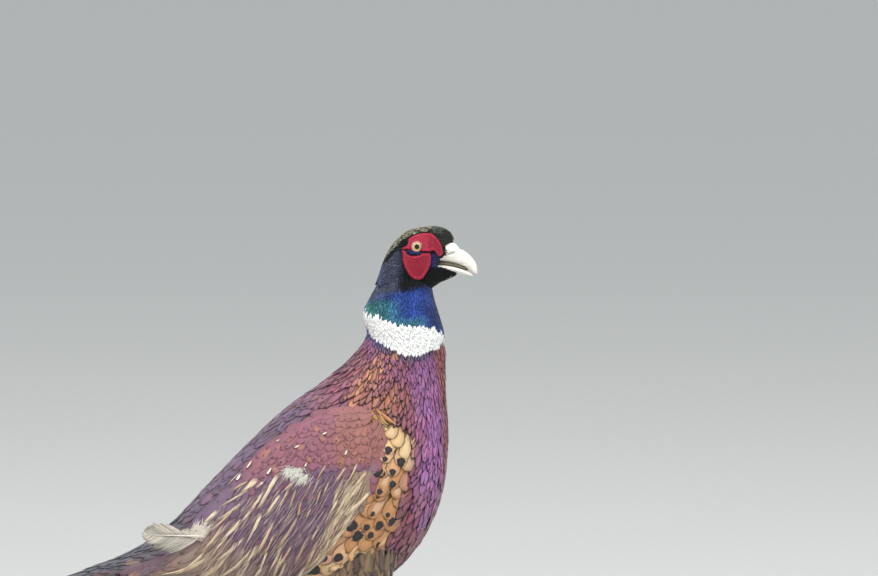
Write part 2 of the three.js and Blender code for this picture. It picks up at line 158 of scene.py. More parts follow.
# The golden side of the breast and flank, in front of and below the folded wing.
GOLD = np.array([
    (48, 290), (56, 293), (66, 292), (80, 284), (83.2, 270.8), (77.6, 254.8), (74.4, 238.8),
    (69.6, 222.8), (62.4, 198.8), (49.6, 170), (30, 150), (-60, 140), (-40, 160), (6.4, 181.2), (28, 208.4),
    (41.6, 233.2), (48.8, 254.8), (48.8, 278.8),
])
# Where loose cream streaks lie over the wing.
STREAKED = np.array([
    (-76, 222.8), (-56, 248.4), (-12, 258), (49.6, 254.8), (46.4, 230.8), (32, 210.8), (8, 178.8),
    (-8, 158.8), (-130, 158.8), (-112, 182.8), (-84, 206.8),
])
# Locks of loose barbs there: from x, z to x, z, half their width at the start, and how golden they are.
LOCKS = np.array([
    (-50, 247, -62, 240, 0.6, 0.7), (-42, 249, -54, 238, 2.4, 0.05), (-50, 240, -69, 228, 0.9, 0.2),
    (-37, 247, -42, 242, 0.9, 0.05), (-26, 252, -38, 229, 1.8, 0.1), (-11, 248, -21, 239, 0.8, 0.4),
    (-17, 240, -22, 230, 0.8, 0.45), (-53, 231, -74, 215, 1.1, 0.4), (-35, 240, -46, 224, 2.2, 0.1),
    (-43, 228, -53, 216, 0.9, 0.2), (-24, 236, -35, 220, 1.2, 0.4), (-54, 217, -67, 202, 2.0, 0.15),
    (-65, 205, -74, 192, 0.9, 0.3), (-38, 222, -47, 201, 1.2, 0.1), (-74, 223, -86, 212, 2.0, 0.0),
    (-29, 214, -41, 189, 1.2, 0.5), (-10, 218, -22, 197, 1.0, 0.7), (-21, 199, -30, 176, 1.0, 0.6),
    (-53, 202, -69, 184, 1.2, 0.3), (-66, 188, -83, 165, 1.0, 0.4), (-42, 196, -50, 180, 1.4, 0.35),
    (-48, 183, -58, 165, 1.0, 0.3), (-46, 194, -66, 168, 0.7, 0.3), (-34, 191, -38, 180, 1.0, 0.15),
    (-38, 181, -46, 165, 1.3, 0.2), (-80, 188, -106, 168, 0.9, 0.3), (-69, 212, -81, 191, 1.2, 0.7),
    (-83, 192, -96, 176, 1.0, 0.5), (42, 248, 30, 229, 1.6, 0.3), (33, 241, 22, 223, 2.0, 0.3),
    (47, 238, 32, 220, 1.6, 0.35), (37, 228, 26, 208, 1.4, 0.4), (29, 230, 13, 204, 1.2, 0.55),
    (22, 233, 17, 223, 1.4, 0.0), (20, 219, 11, 201, 1.0, 0.6), (33, 213, 17, 199, 0.7, 0.0),
    (35, 208, 17, 196, 0.7, 0.05), (34, 204, 19, 193, 0.6, 0.1), (10, 216, 3, 203, 1.0, 0.6),
    (6, 199, -2, 180, 1.0, 0.75), (14, 197, 1, 180, 1.0, 0.6), (-3, 200, -11, 182, 0.7, 0.7),
    (-4, 178, -10, 165, 1.0, 0.2), (-6, 233, -9, 221, 0.6, 0.8), (2, 228, -2, 220, 0.6, 0.9),
    (13, 260, 6, 249, 0.7, 0.9), (-15, 196, -23, 180, 0.6, 0.6), (-19, 183, -27, 165, 0.8, 0.5),
    (-22, 190, -29, 170, 0.6, 0.6), (26, 247, 19, 232, 0.9, 0.7), (28, 258, 22, 248, 0.9, 0.6),
    (38, 261, 32, 248, 1.0, 0.5), (45, 255, 38, 242, 1.0, 0.4), (10, 243, 5, 231, 0.7, 0.8),
    (-59, 255, -67, 247, 0.6, 0.6), (-28, 205, -34, 192, 0.6, 0.8), (-11, 240, -15, 228, 0.6, 0.6),
    (16, 248, 12, 239, 0.7, 0.7), (22, 195, 10, 175, 1.0, 0.5), (-62, 223, -77, 208, 0.8, 0.6),
])
# Wisps tried between the locks. Those outside STREAKED are left out.
WISPS = 2600
# Places of the white tufts at the wing's upper edge, and of the light flecks with their sizes.
FANS = np.array([(-14, 257.5), (-8.5, 257), (-3, 252.5)])
FAN_BARBS = 220
FLECKS = np.array([
    (-46, 263, 1.7), (-30, 258, 1.5), (-55, 253, 1.5), (-8, 276, 1), (14, 286, 1), (-24, 280, 0.8),
    (-2, 262, 0.8), (30, 272, 0.9),
])
# The tail feathers of one side, from the middle outwards: length, place to the side, and half width.
TAIL = np.array([
    (468, 10.5, 13.5),
    (412, 12.5, 12),
    (352, 14.5, 11.5),
    (296, 16.2, 11),
    (246, 17.8, 10.5),
    (204, 19.2, 10),
    (170, 20.4, 9.5),
    (142, 21.4, 9),
    (120, 22.2, 8.5),
])
TAIL_ROOT = np.array([-128.0, 186.0])
TAIL_SLOPE = math.radians(20)
TAIL_LENGTH = TAIL[0, 0]
TOE_RADIUS = 3.7
# Each side's sign, and how far forward its foot stands.
STANCE = {"left": (1, -9.0), "right": (-1, 9.0)}
STANCE_HALF = 32.0
TARSUS_LENGTH = 74.0


# Colours and sizes that a user may change

def linear(code):
    """A linear colour from a six-digit code."""
    parts = [int(code[i:i + 2], 16) / 255 for i in (0, 2, 4)]
    return tuple(c / 12.92 if c <= 0.04045 else ((c + 0.055) / 1.055) ** 2.4 for c in parts)


def colour_property(name, description, code):
    return bpy.props.FloatVectorProperty(
        name=name, description=description, default=linear(code), min=0, max=1, subtype="COLOR",
    )


def size_property(name, description, default, low, high):
    return bpy.props.FloatProperty(name=name, description=description, default=default, min=low, max=high)


class PheasantColours(bpy.types.PropertyGroup):
    """The colours of the plumage and the bare parts."""

    neck_blue: colour_property("Neck blue", "Front and side of the neck", "3552a8")
    neck_green: colour_property("Neck green", "Neck above the collar, at the back", "468c8e")
    # The nape colour is a grey-blue painted sheen on dark glossy feathers; other blues mix it in too.
    nape: colour_property("Nape", "Back of the neck", "4e5a7c")
    # The ear colour is a grey-violet painted sheen on the dark glossy feathers behind the face.
    ear: colour_property("Ear", "Behind the bare face", "50566b")
    throat: colour_property("Throat", "Chin and throat", "0a1413")
    crown: colour_property("Crown", "Pale cap of the head", "a8a186")
    collar: colour_property("Collar", "The neck ring", "fbfbf8")
    copper: colour_property("Copper", "Sides of the breast", "b4784e")
    violet: colour_property("Violet", "Front of the breast", "925b8d")
    mantle: colour_property("Mantle", "Upper back", "8f5665")
    ink: colour_property("Feather edges", "Dark edges of the breast feathers", "17111c")
    rump: colour_property("Rump", "Lower back and rump", "575560")
    flank: colour_property("Flank", "Golden flank feathers", "dab07e")
    belly: colour_property("Belly", "Belly and thighs", "3a2823")
    vent: colour_property("Vent", "Under the tail", "6a3a22")
    wing_purple: colour_property("Wing purple", "Larger wing coverts", "70506e")
    quill: colour_property("Quills", "Flight feathers", "907460")
    cream: colour_property("Cream", "Streaks on the wing", "e2d0b4")
    tail: colour_property("Tail", "Ground colour of the tail", "97805a")
    wattle: colour_property("Wattle", "Bare red skin of the face", "c41c3e")
    iris: colour_property("Iris", "Iris of the eye", "d9c178")
    bill: colour_property("Bill", "Horn of the bill", "fdfbf5")
    leg: colour_property("Leg", "Scales of legs and toes", "86827a")
    horn: colour_property("Claws", "Claws and spurs", "3c3630")
    loose: colour_property("Loose feather", "The pale feather out of place", "d6ccbe")
    floor: colour_property("Floor", "Studio floor", "c9cac6")


class PheasantSizes(bpy.types.PropertyGroup):
    """Sizes of the feathers in millimetres, and the camera's distance."""

    neck_feather: size_property("Neck feather", "Length on the neck, in mm", 9.5, 4, 20)
    breast_feather: size_property("Breast feather", "Length on the breast, in mm", 20, 8, 40)
    back_feather: size_property("Back feather", "Length on the back, in mm", 34, 12, 60)
    rump_feather: size_property("Rump feather", "Length on the rump, in mm", 46, 20, 80)
    flank_feather: size_property("Flank feather", "Length on the flank, in mm", 44, 20, 80)
    covert: size_property("Wing covert", "Length of a small wing covert, in mm", 22, 10, 50)
    head_feather: size_property("Head feather", "Length on the head, in mm", 5, 2, 12)
    seed: bpy.props.IntProperty(name="Seed", description="Changes how the feathers fall", default=7)
    lens: bpy.props.FloatProperty(
        name="Lens", description="Focal length", default=300, min=20, max=1200, subtype="DISTANCE_CAMERA",
    )
    camera_distance: bpy.props.FloatProperty(
        name="Camera distance", description="From the camera to the bird", default=5.853, min=1, max=20,
        subtype="DISTANCE", unit="LENGTH",
    )


def colours():
    """The chosen colours as linear numbers, by name."""
    group = bpy.context.scene.pheasant_colours
    return {key: np.array(getattr(group, key)) for key in PheasantColours.__annotations__}


def sizes():
    return bpy.context.scene.pheasant_sizes


# Curves and the surfaces that feathers lie on. A surface takes (a, b, lift): a runs towards the head,
# b goes round from the back line, and lift is the height over the surface in millimetres.

def curve_through(rows, count=400, spill=0.2):
    """Evenly numbered samples of a smooth curve through rows, with straight run-outs past its ends."""
    rows = np.asarray(rows, float)
    padded = np.vstack([2 * rows[0] - rows[1], rows, 2 * rows[-1] - rows[-2]])
    place = np.linspace(0, len(rows) - 1, count)
    i = np.minimum(place.astype(int), len(rows) - 2)
    w = (place - i)[:, None]
    p0, p1, p2, p3 = (padded[i + k] for k in range(4))
    gaps = [np.maximum(np.linalg.norm(q - p, axis=1, keepdims=True), 1e-6) ** 0.5
            for p, q in ((p0, p1), (p1, p2), (p2, p3))]
    t1 = ((p1 - p0) / gaps[0] - (p2 - p0) / (gaps[0] + gaps[1]) + (p2 - p1) / gaps[1]) * gaps[1]
    t2 = ((p2 - p1) / gaps[1] - (p3 - p1) / (gaps[1] + gaps[2]) + (p3 - p2) / gaps[2]) * gaps[1]
    run = p1 + w * t1 + w**2 * (-3 * p1 + 3 * p2 - 2 * t1 - t2) + w**3 * (2 * p1 - 2 * p2 + t1 + t2)
    s = np.linspace(0, 1, count)
    first = run[0] + (run[1] - run[0]) * (count - 1) * -spill
    last = run[-1] + (run[-1] - run[-2]) * (count - 1) * spill
    return np.concatenate([[-spill], s, [1 + spill]]), np.vstack([first, run, last])


def sample(curve, s):
    """Points of a sampled curve at s, in any shape of array."""
    places, run = curve
    return np.stack([np.interp(s, places, run[:, k]) for k in range(run.shape[1])], axis=-1)


def loft(sections):
    """The surface of a body made of sections."""
    top = curve_through(sections[:, 0:2])
    bottom = curve_through(sections[:, 2:4])
    widths = curve_through(np.column_stack([sections[:, 4], np.arange(len(sections))]))

    def surface(a, b, lift):
        upper, lower = sample(top, a), sample(bottom, a)
        centre = (upper + lower) / 2
        rise = upper - centre
        depth = np.maximum(np.linalg.norm(rise, axis=-1), 1e-6)
        k = (depth + lift) / depth * np.cos(b)
        y = (np.maximum(sample(widths, a)[..., 0], 0.5) + lift) * np.sin(b)
        return np.stack([centre[..., 0] + rise[..., 0] * k, y, centre[..., 1] + rise[..., 1] * k], axis=-1)

    return surface


body_surface = loft(BODY)
head_surface = loft(HEAD)
WING_EDGES = curve_through(WING[:, 1:4])
SECTIONS = len(BODY) - 1
ALL_ROUND = (-np.pi, np.pi)
ACROSS = (0, 1, 0)


def body_part(low, high):
    """The stretch of the body from one section to another, as shares of its length."""
    return low / SECTIONS, high / SECTIONS


def wing_surface(sign):
    """A folded wing. a runs from its tip to the shoulder, and b from its upper edge, 0, to its lower, 1."""

    def surface(a, b, lift):
        section = WING[0, 0] + (WING[-1, 0] - WING[0, 0]) * a
        edges = sample(WING_EDGES, a)
        angle = np.radians(edges[..., 0] + (edges[..., 1] - edges[..., 0]) * b)
        bulge = np.sqrt(np.sin(np.pi * np.clip(b, 0.06, 0.94)))
        plate = -WING_SUNK + (edges[..., 2] + WING_SUNK) * bulge
        return body_surface(section / SECTIONS, sign * angle, plate + lift)

    return surface


def tail_surface(a, b, lift):
    """The tail. a is minus the distance from its root, in tail lengths, and b the distance to its left."""
    along = -a * TAIL_LENGTH
    roof = -0.16 * np.maximum(0, np.abs(b) - 2)
    through = roof + lift
    return np.stack([
        TAIL_ROOT[0] - along * math.cos(TAIL_SLOPE) - through * math.sin(TAIL_SLOPE) * 0.3,
        b + 0 * through,
        TAIL_ROOT[1] - along * math.sin(TAIL_SLOPE) + through,
    ], axis=-1)


def unit(vectors):
    return vectors / np.maximum(np.linalg.norm(vectors, axis=-1, keepdims=True), 1e-9)


def round_about(across, up, turn):
    """Directions at an angle from across towards up."""
    return across * np.cos(turn)[..., None] + up * np.sin(turn)[..., None]


def frame_along(path, s, side):
    """Points of a path, and the directions across it and up from it. side is roughly the way across."""
    ahead = unit(sample(path, s + 0.01) - sample(path, s - 0.01))
    up = unit(np.cross(ahead, side))
    return sample(path, s), np.cross(up, ahead), up


def limb_surface(points, radius, side):
    """A round limb along points, with a from its far end, 0, to its near end, 1, and b round it."""
    path = curve_through(points)

    def surface(a, b, lift):
        middle, across, up = frame_along(path, 1 - a, side)
        wide, high = radius(np.clip(1 - a, 0, 1))
        return (middle + across * ((wide + lift) * np.sin(b))[..., None]
                + up * ((high + lift) * np.cos(b))[..., None])

    return surface


def spine_of(surface, s):
    """The top line of a body's surface, and the line through its middle."""
    top, bottom = (surface(s, 0 * s + turn, 0 * s) for turn in (0, np.pi))
    return top, (top + bottom) / 2


def thigh_surface(side):
    sign, stride = STANCE[side]
    y = sign * STANCE_HALF
    hip = (stride + 26, y * 0.9, 206)
    knee = (stride + 3, y, 122)
    ankle = (stride - 13, y, 80)

    def radius(s):
        return 24 * (1 - s) ** 0.8 + 5.6 * s, 38 * (1 - s) ** 0.85 + 6.4 * s

    return limb_surface([hip, (stride + 22, y * 0.98, 168), knee, ankle], radius, ACROSS)


# Meshes

# Lowest and highest a, and lowest and highest b, on the OFBake maps of a wing and of the tail. The
# loose feather takes the tail's.
WING_BAKE = (0, 1, -0.1, 1.1)
TAIL_BAKE = (-1, 0.2, -40, 40)
# Samples of a row, how unevenly feathers stand in it, a small step in a, and a feather's width on OFBake.
ROW_SAMPLES = 40
ROW_JITTER = 0.22
SMALL_STEP = 1e-3
BAKE_PATCH = 0.003


def smoothstep(low, high, x):
    t = np.clip((x - low) / (high - low), 0, 1)
    return t * t * (3 - 2 * t)


def blend(one, other, share):
    return one + (other - one) * np.asarray(share)[..., None]


def mottle(points, scale, shift=0.0):
    """Smooth noise from 0 to 1 at points, with features about scale millimetres across."""
    flat = np.asarray(points).reshape(-1, 3) / scale + shift
    return np.array([noise.noise(Vector(p)) for p in flat]) * 0.5 + 0.5


def piece(name, points, triangles, material, flat=None, layers=None, maps=None, keep=()):
    """A named mesh that rides on the frame. flat marks faces without smoothing. layers are values by
    point: one number is a float, and four are a colour. maps are UV maps by point. keep lists the
    solids that the piece stands for."""
    mesh = bpy.data.meshes.new(name)
    triangles = np.asarray(triangles, np.int32)
    mesh.vertices.add(len(points))
    mesh.vertices.foreach_set("co", ((points + SHIFT) * MM).astype(np.float32).ravel())
    mesh.loops.add(triangles.size)
    mesh.loops.foreach_set("vertex_index", triangles.ravel())
    mesh.polygons.add(len(triangles))
    mesh.polygons.foreach_set("loop_start", np.arange(0, triangles.size, 3, dtype=np.int32))
    smooth = np.ones(len(triangles), bool)
    if flat is not None:
        smooth[flat] = False
    mesh.update(calc_edges=True)
    mesh.polygons.foreach_set("use_smooth", smooth)
    for key, values in (layers or {}).items():
        if values.ndim == 1:
            mesh.attributes.new(key, "FLOAT", "POINT").data.foreach_set("value", values.astype(np.float32))
        else:
            layer = mesh.attributes.new(key, "FLOAT_COLOR", "POINT")
            layer.data.foreach_set("color", values.astype(np.float32).ravel())
    for key, values in (maps or {}).items():
        layer = mesh.uv_layers.new(name=key)
        layer.data.foreach_set("uv", values[triangles.ravel()].astype(np.float32).ravel())
    mesh.materials.append(material)
    obj = bpy.data.objects.new(name, mesh)
    bpy.context.scene.collection.objects.link(obj)
    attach(obj, "root")
    if keep:
        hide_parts(*keep)
    return obj


class Plumes:
    """The feathers of one tract: where each is rooted on a surface, its size, and how it lies."""

    def __init__(self, surface, a, b, length, half, rng, base=-3.0, tip=0.0, camber=0.5, turn=0.0,
                 stray=0.1, twist=0.08, curl=0.0, uneven=1.0):
        n = len(a)
        self.surface = surface
        self.a = a
        self.b = b
        self.length = length * rng.uniform(0.86, 1.14, n)
        self.half = half * rng.uniform(0.88, 1.12, n)
        self.base = base + rng.normal(0, 0.25 * uneven, n)
        self.tip = tip + rng.normal(0, 0.35 * uneven, n)
        self.camber = camber * rng.uniform(0.8, 1.3, n)
        self.turn = turn + rng.normal(0, stray, n)
        self.twist = rng.normal(0, twist, n)
        self.curl = curl * rng.normal(0, 1, n)
        self.luck = rng.uniform(0, 1, (n, 4))

    def where(self, mask):
        """Only the feathers that mask picks."""
        part = object.__new__(Plumes)
        part.surface = self.surface
        for key, value in self.__dict__.items():
            if key != "surface":
                setattr(part, key, value[mask])
        return part

    def shafts(self, stops):
        """Each feather's shaft at shares of its length: a, b, and their change for 1 mm to its side."""
        a, b, last, runs = self.a, self.b, 0.0, []
        for stop in stops:
            turn = self.turn + self.curl * stop
            ahead, _ = steps_on(self.surface, a, b, turn)
            a = a + ahead[0] * self.length * (stop - last)
            b = b + ahead[1] * self.length * (stop - last)
            _, aside = steps_on(self.surface, a, b, turn)
            runs.append((a, b, aside[0], aside[1]))
            last = stop
        return [np.stack(column, axis=1) for column in zip(*runs)]

    def seen(self, share=0.7):
        """The middle of the part of each feather that shows."""
        a, b, _, _ = self.shafts((share / 2, share))
        return self.surface(a[:, 1], b[:, 1], 0 * a[:, 1])


def lay_of(surface, a, b):
    """Changes of a surface with a and with b, and its unit vectors outwards, backwards and to the side."""
    e = 1e-4
    pa = (surface(a + e, b, 0 * a) - surface(a - e, b, 0 * a)) / (2 * e)
    pb = (surface(a, b + e, 0 * a) - surface(a, b - e, 0 * a)) / (2 * e)
    out = surface(a, b, 0 * a + 1) - surface(a, b, 0 * a)
    normal = np.cross(pa, pb)
    normal = unit(normal * np.sign(np.sum(normal * out, axis=-1, keepdims=True)))
    back = unit(-pa)
    return pa, pb, normal, back, np.cross(normal, back)


def steps_on(surface, a, b, turn):
    """Changes in (a, b) for 1 mm along a feather that lies backwards, turned by turn, and 1 mm aside."""
    pa, pb, normal, back, side = lay_of(surface, a, b)
    ahead = round_about(back, side, turn)
    aside = np.cross(normal, ahead)
    aa, ab, bb = (np.sum(p * q, axis=-1) for p, q in ((pa, pa), (pa, pb), (pb, pb)))
    spread = np.maximum(aa * bb - ab**2, 1e-9)

    def solve(d):
        x, y = np.sum(pa * d, axis=-1), np.sum(pb * d, axis=-1)
        return (bb * x - ab * y) / spread, (aa * y - ab * x) / spread

    return solve(ahead), solve(aside)


def vane_grid(along, across):
    """Shares u, v and faces of one feather: a fine upper side, and a plain under side that closes it."""
    row = across + 1
    inner = [(i / along, 2 * j / across - 1) for i in range(1, along) for j in range(row)]
    places = np.array([(0.0, 0.0), *inner, (1.0, 0.0)])
    tip = len(places) - 1
    end = tip - row
    faces = []
    for j in range(across):
        faces += [(0, 1 + j, 2 + j), (end + j, tip, end + j + 1)]
    for i in range(along - 2):
        for j in range(across):
            k = 1 + i * row + j
            faces += [(k, k + row, k + row + 1), (k, k + row + 1, k + 1)]
    upper = len(faces)
    faces.append((0, row, 1))
    for left in range(1, end, row):
        right = left + across
        faces += [(left, right, right + row), (left, right + row, left + row)]
    faces.append((end, end + across, tip))
    return places[:, 0], places[:, 1], np.array(faces), upper


def width_profile(u, fullest, blunt):
    """Width of a feather at shares u of its length. fullest is where it is widest, and a small blunt
    gives a broad round tip."""
    power = math.log(0.5) / math.log(fullest)
    return np.sin(np.pi * np.clip(u, 0, 1) ** power) ** blunt


def feathers(name, plumes, marks, material, grid=(7, 4), fullest=0.62, blunt=0.6, ragged=0.06,
             bake=None, keep=(), absolute=None):
    """One piece of many feathers. marks gives three colours with a fourth number each: ground and spot
    size, rim and rim width, core and core width."""
    u, v, faces, upper = vane_grid(*grid)
    along = grid[0]
    n = len(plumes.a)
    stops = np.arange(along + 1) / along
    a, b, side_a, side_b = plumes.shafts(stops)
    rng = np.random.default_rng(len(name) * 131 + n)
    station = np.rint(u * along).astype(int)
    half = plumes.half[:, None] * width_profile(u, fullest, blunt)[None, :]
    outer = (np.abs(v) > 0.99)[None, :]
    half = half * np.where(outer, 1 - ragged * rng.uniform(0, 2, (n, len(u))), 1)
    offset = half * v[None, :]
    at_a = a[:, station] + side_a[:, station] * offset
    at_b = b[:, station] + side_b[:, station] * offset
    lift = plumes.base[:, None] + (plumes.tip - plumes.base)[:, None] * u[None, :]
    arch = (1 - v**2)[None, :] * np.sin(np.pi * np.clip(u, 0.04, 0.96))[None, :]
    lift = lift + plumes.camber[:, None] * arch
    lift = lift + plumes.twist[:, None] * offset
    points = plumes.surface(at_a, at_b, lift).reshape(-1, 3)
    triangles = (faces[None, :, :] + (np.arange(n) * len(u))[:, None, None]).reshape(-1, 3)
    flat = (np.arange(len(faces)) >= upper)[None, :].repeat(n, axis=0).ravel()
    layers = {}
    for key, (colour, amount) in marks.items():
        layers[key] = np.repeat(np.column_stack([np.clip(colour, 0, 1), amount]), len(u), axis=0)
    shade = np.column_stack([np.tile(u, n), np.tile(v, n) * 0.5 + 0.5])
    if absolute is not None:
        shade[:, 0] = (u[None, :] * (plumes.length / absolute)[:, None]).ravel()
    low_a, high_a, low_b, high_b = bake or (0, 1, *ALL_ROUND)
    home = np.column_stack([
        0.02 + 0.96 * (plumes.b - low_b) / (high_b - low_b),
        0.02 + 0.96 * (plumes.a - low_a) / (high_a - low_a),
    ])
    patch = np.column_stack([v * 0.5, u - 0.5]) * BAKE_PATCH
    unwrap = (np.clip(home, 0.01, 0.99)[:, None, :] + patch[None, :, :]).reshape(-1, 2)
    maps = {"OFBake": unwrap, "Vane": shade}
    return piece(name, points, triangles, material, flat, layers, maps, keep)


def rows_of(surface, a_range, b_range, along, across, rng):
    """Roots in staggered rows from the back of a tract to its front. along and across are the distances
    between rows and within one: a number each, or shares of the tract and the distances there."""
    (a_low, a_high), (b_low, b_high) = a_range, b_range
    a, k, found_a, found_b = a_low, 0, [], []
    while a < a_high:
        share = (a - a_low) / (a_high - a_low)
        step, gap = (given if np.isscalar(given) else np.interp(share, *given) for given in (along, across))
        b = np.linspace(b_low, b_high, ROW_SAMPLES)
        line = surface(np.full(ROW_SAMPLES, a), b, np.zeros(ROW_SAMPLES))
        run = np.concatenate([[0], np.cumsum(np.linalg.norm(np.diff(line, axis=0), axis=1))])
        count = max(1, int(round(run[-1] / gap)))
        places = (np.arange(count) + 0.25 + 0.5 * (k % 2)) / count * run[-1]
        places = places + rng.normal(0, ROW_JITTER * gap * 0.4, count)
        found_b.append(np.interp(places, run, b))
        middle = np.full(3, a), np.linspace(b_low, b_high, 5)[1:4], np.zeros(3)
        ahead = surface(middle[0] + SMALL_STEP, middle[1], middle[2]) - surface(*middle)
        rate = np.linalg.norm(ahead, axis=1).max() / SMALL_STEP
        found_a.append(np.full(count, a) + rng.normal(0, ROW_JITTER * step * 0.5, count) / rate)
        a += step / rate
        k += 1
    return np.concatenate(found_a), np.concatenate(found_b)


def roots_at(surface, spots, b_range):
    """Where on a surface the spots of the side view are."""
    a, b = (grid.ravel() for grid in np.meshgrid(np.linspace(0, 1, 400), np.linspace(*b_range, 300)))
    x, z = side_view(surface(a, b, 0 * a))
    near = [np.argmin((x - spot_x) ** 2 + (z - spot_z) ** 2) for spot_x, spot_z in spots]
    return a[near], b[near]


def strands(name, surface, root, tip, half, tone, rng, material):
    """One piece of fine barbs that run over a surface between places of the side view."""
    reach = (-0.02, 1.06)
    a, b = roots_at(surface, root, reach)
    run = surface(*roots_at(surface, tip, reach), 0 * a) - surface(a, b, 0 * a)
    _, _, _, back, side = lay_of(surface, a, b)
    turn = np.arctan2(np.sum(run * side, axis=1), np.sum(run * back, axis=1))
    plumes = Plumes(surface, a, b, np.linalg.norm(run, axis=1), half, rng, base=-0.1, tip=0.9, camber=0.3,
                    turn=turn, stray=0.02, uneven=0.6)
    bend = rng.normal(0, 0.07, len(a))
    plumes.turn = plumes.turn - bend / 2
    plumes.curl = bend
    feathers(name, plumes, marks(tone, tone * 0.75, 0.1), material, grid=(10, 2), fullest=0.4,
             blunt=0.8, ragged=0.0, bake=WING_BAKE)


# Shader nodes

def add(tree, kind, **settings):
    """A node. Its settings are its own properties."""
    node = tree.nodes.new(kind)
    for key, value in settings.items():
        setattr(node, key, value)
    return node


def join(tree, value, socket):
    """Feeds a socket from another, or sets its value."""
    value = getattr(value, "socket", value)
    if isinstance(value, bpy.types.NodeSocket):
        tree.links.new(value, socket)
    else:
        socket.default_value = value


def maths(tree, operation, *values, clamp=False):
    node = add(tree, "ShaderNodeMath", operation=operation, use_clamp=clamp)
    for value, socket in zip(values, node.inputs):
        join(tree, value, socket)
    return Wire(tree, node.outputs[0])


class Wire:
    """A number in a shader. Each sum with it makes a Math node."""

    def __init__(self, tree, socket):
        self.tree = tree
        self.socket = socket

    def __add__(self, other):
        return maths(self.tree, "ADD", self, other)

    def __sub__(self, other):
        return maths(self.tree, "SUBTRACT", self, other)

    def __rsub__(self, other):
        return maths(self.tree, "SUBTRACT", other, self)

    def __mul__(self, other):
        return maths(self.tree, "MULTIPLY", self, other)

    def __truediv__(self, other):
        return maths(self.tree, "DIVIDE", self, other)

    def __abs__(self):
        return maths(self.tree, "ABSOLUTE", self)


def ramp(tree, value, low, high, start=0.0, end=1.0):
    """Goes smoothly from start to end as value goes from low to high."""
    node = add(tree, "ShaderNodeMapRange", interpolation_type="SMOOTHSTEP")
    for given, socket in zip((value, low, high, start, end), node.inputs):
        join(tree, given, socket)
    return Wire(tree, node.outputs[0])


def mixed(tree, share, one, other, blend_type="MIX"):
    node = add(tree, "ShaderNodeMix", data_type="RGBA", blend_type=blend_type)
    for value, place in ((share, 0), (one, 6), (other, 7)):
        join(tree, value, node.inputs[place])
    return node.outputs[2]


def noisy(tree, scale, detail=2.0, vector=None):
    node = add(tree, "ShaderNodeTexNoise")
    source = vector or add(tree, "ShaderNodeTexCoord").outputs["Object"]
    for key, value in (("Scale", scale), ("Detail", detail), ("Vector", source)):
        join(tree, value, node.inputs[key])
    return Wire(tree, node.outputs["Fac"])


def speckled(tree, scale, detail, low=0.3, high=0.7):
    """Noise whose middle values are spread over the whole range."""
    return ramp(tree, noisy(tree, scale, detail), low, high)


def layer_of(tree, name, output="Fac"):
    """What a mesh holds in its layer of this name."""
    return add(tree, "ShaderNodeAttribute", attribute_name=name).outputs[output]


def rgba(colour):
    """A colour as a shader's socket takes it."""
    return (*np.clip(colour, 0, 1), 1)


def group_of(name, inputs, outputs):
    """A new node group with named sockets, and its two ends."""
    tree = bpy.data.node_groups.new(name, "ShaderNodeTree")
    for label, default in inputs.items():
        socket = tree.interface.new_socket(label, in_out="INPUT", socket_type="NodeSocketFloat")
        socket.default_value = default
    for label, kind in outputs.items():
        tree.interface.new_socket(label, in_out="OUTPUT", socket_type=kind)
    given = add(tree, "NodeGroupInput").outputs
    return tree, {label: Wire(tree, given[label]) for label in inputs}, add(tree, "NodeGroupOutput").inputs


def vane_place(tree):
    """How far along its feather a point is, from 0 to 1, and how far to the side, from -1 to 1."""
    uv = add(tree, "ShaderNodeSeparateXYZ")
    join(tree, add(tree, "ShaderNodeUVMap", uv_map="Vane").outputs[0], uv.inputs[0])
    return Wire(tree, uv.outputs[0]), maths(tree, "MULTIPLY_ADD", uv.outputs[1], 2.0, -1.0)


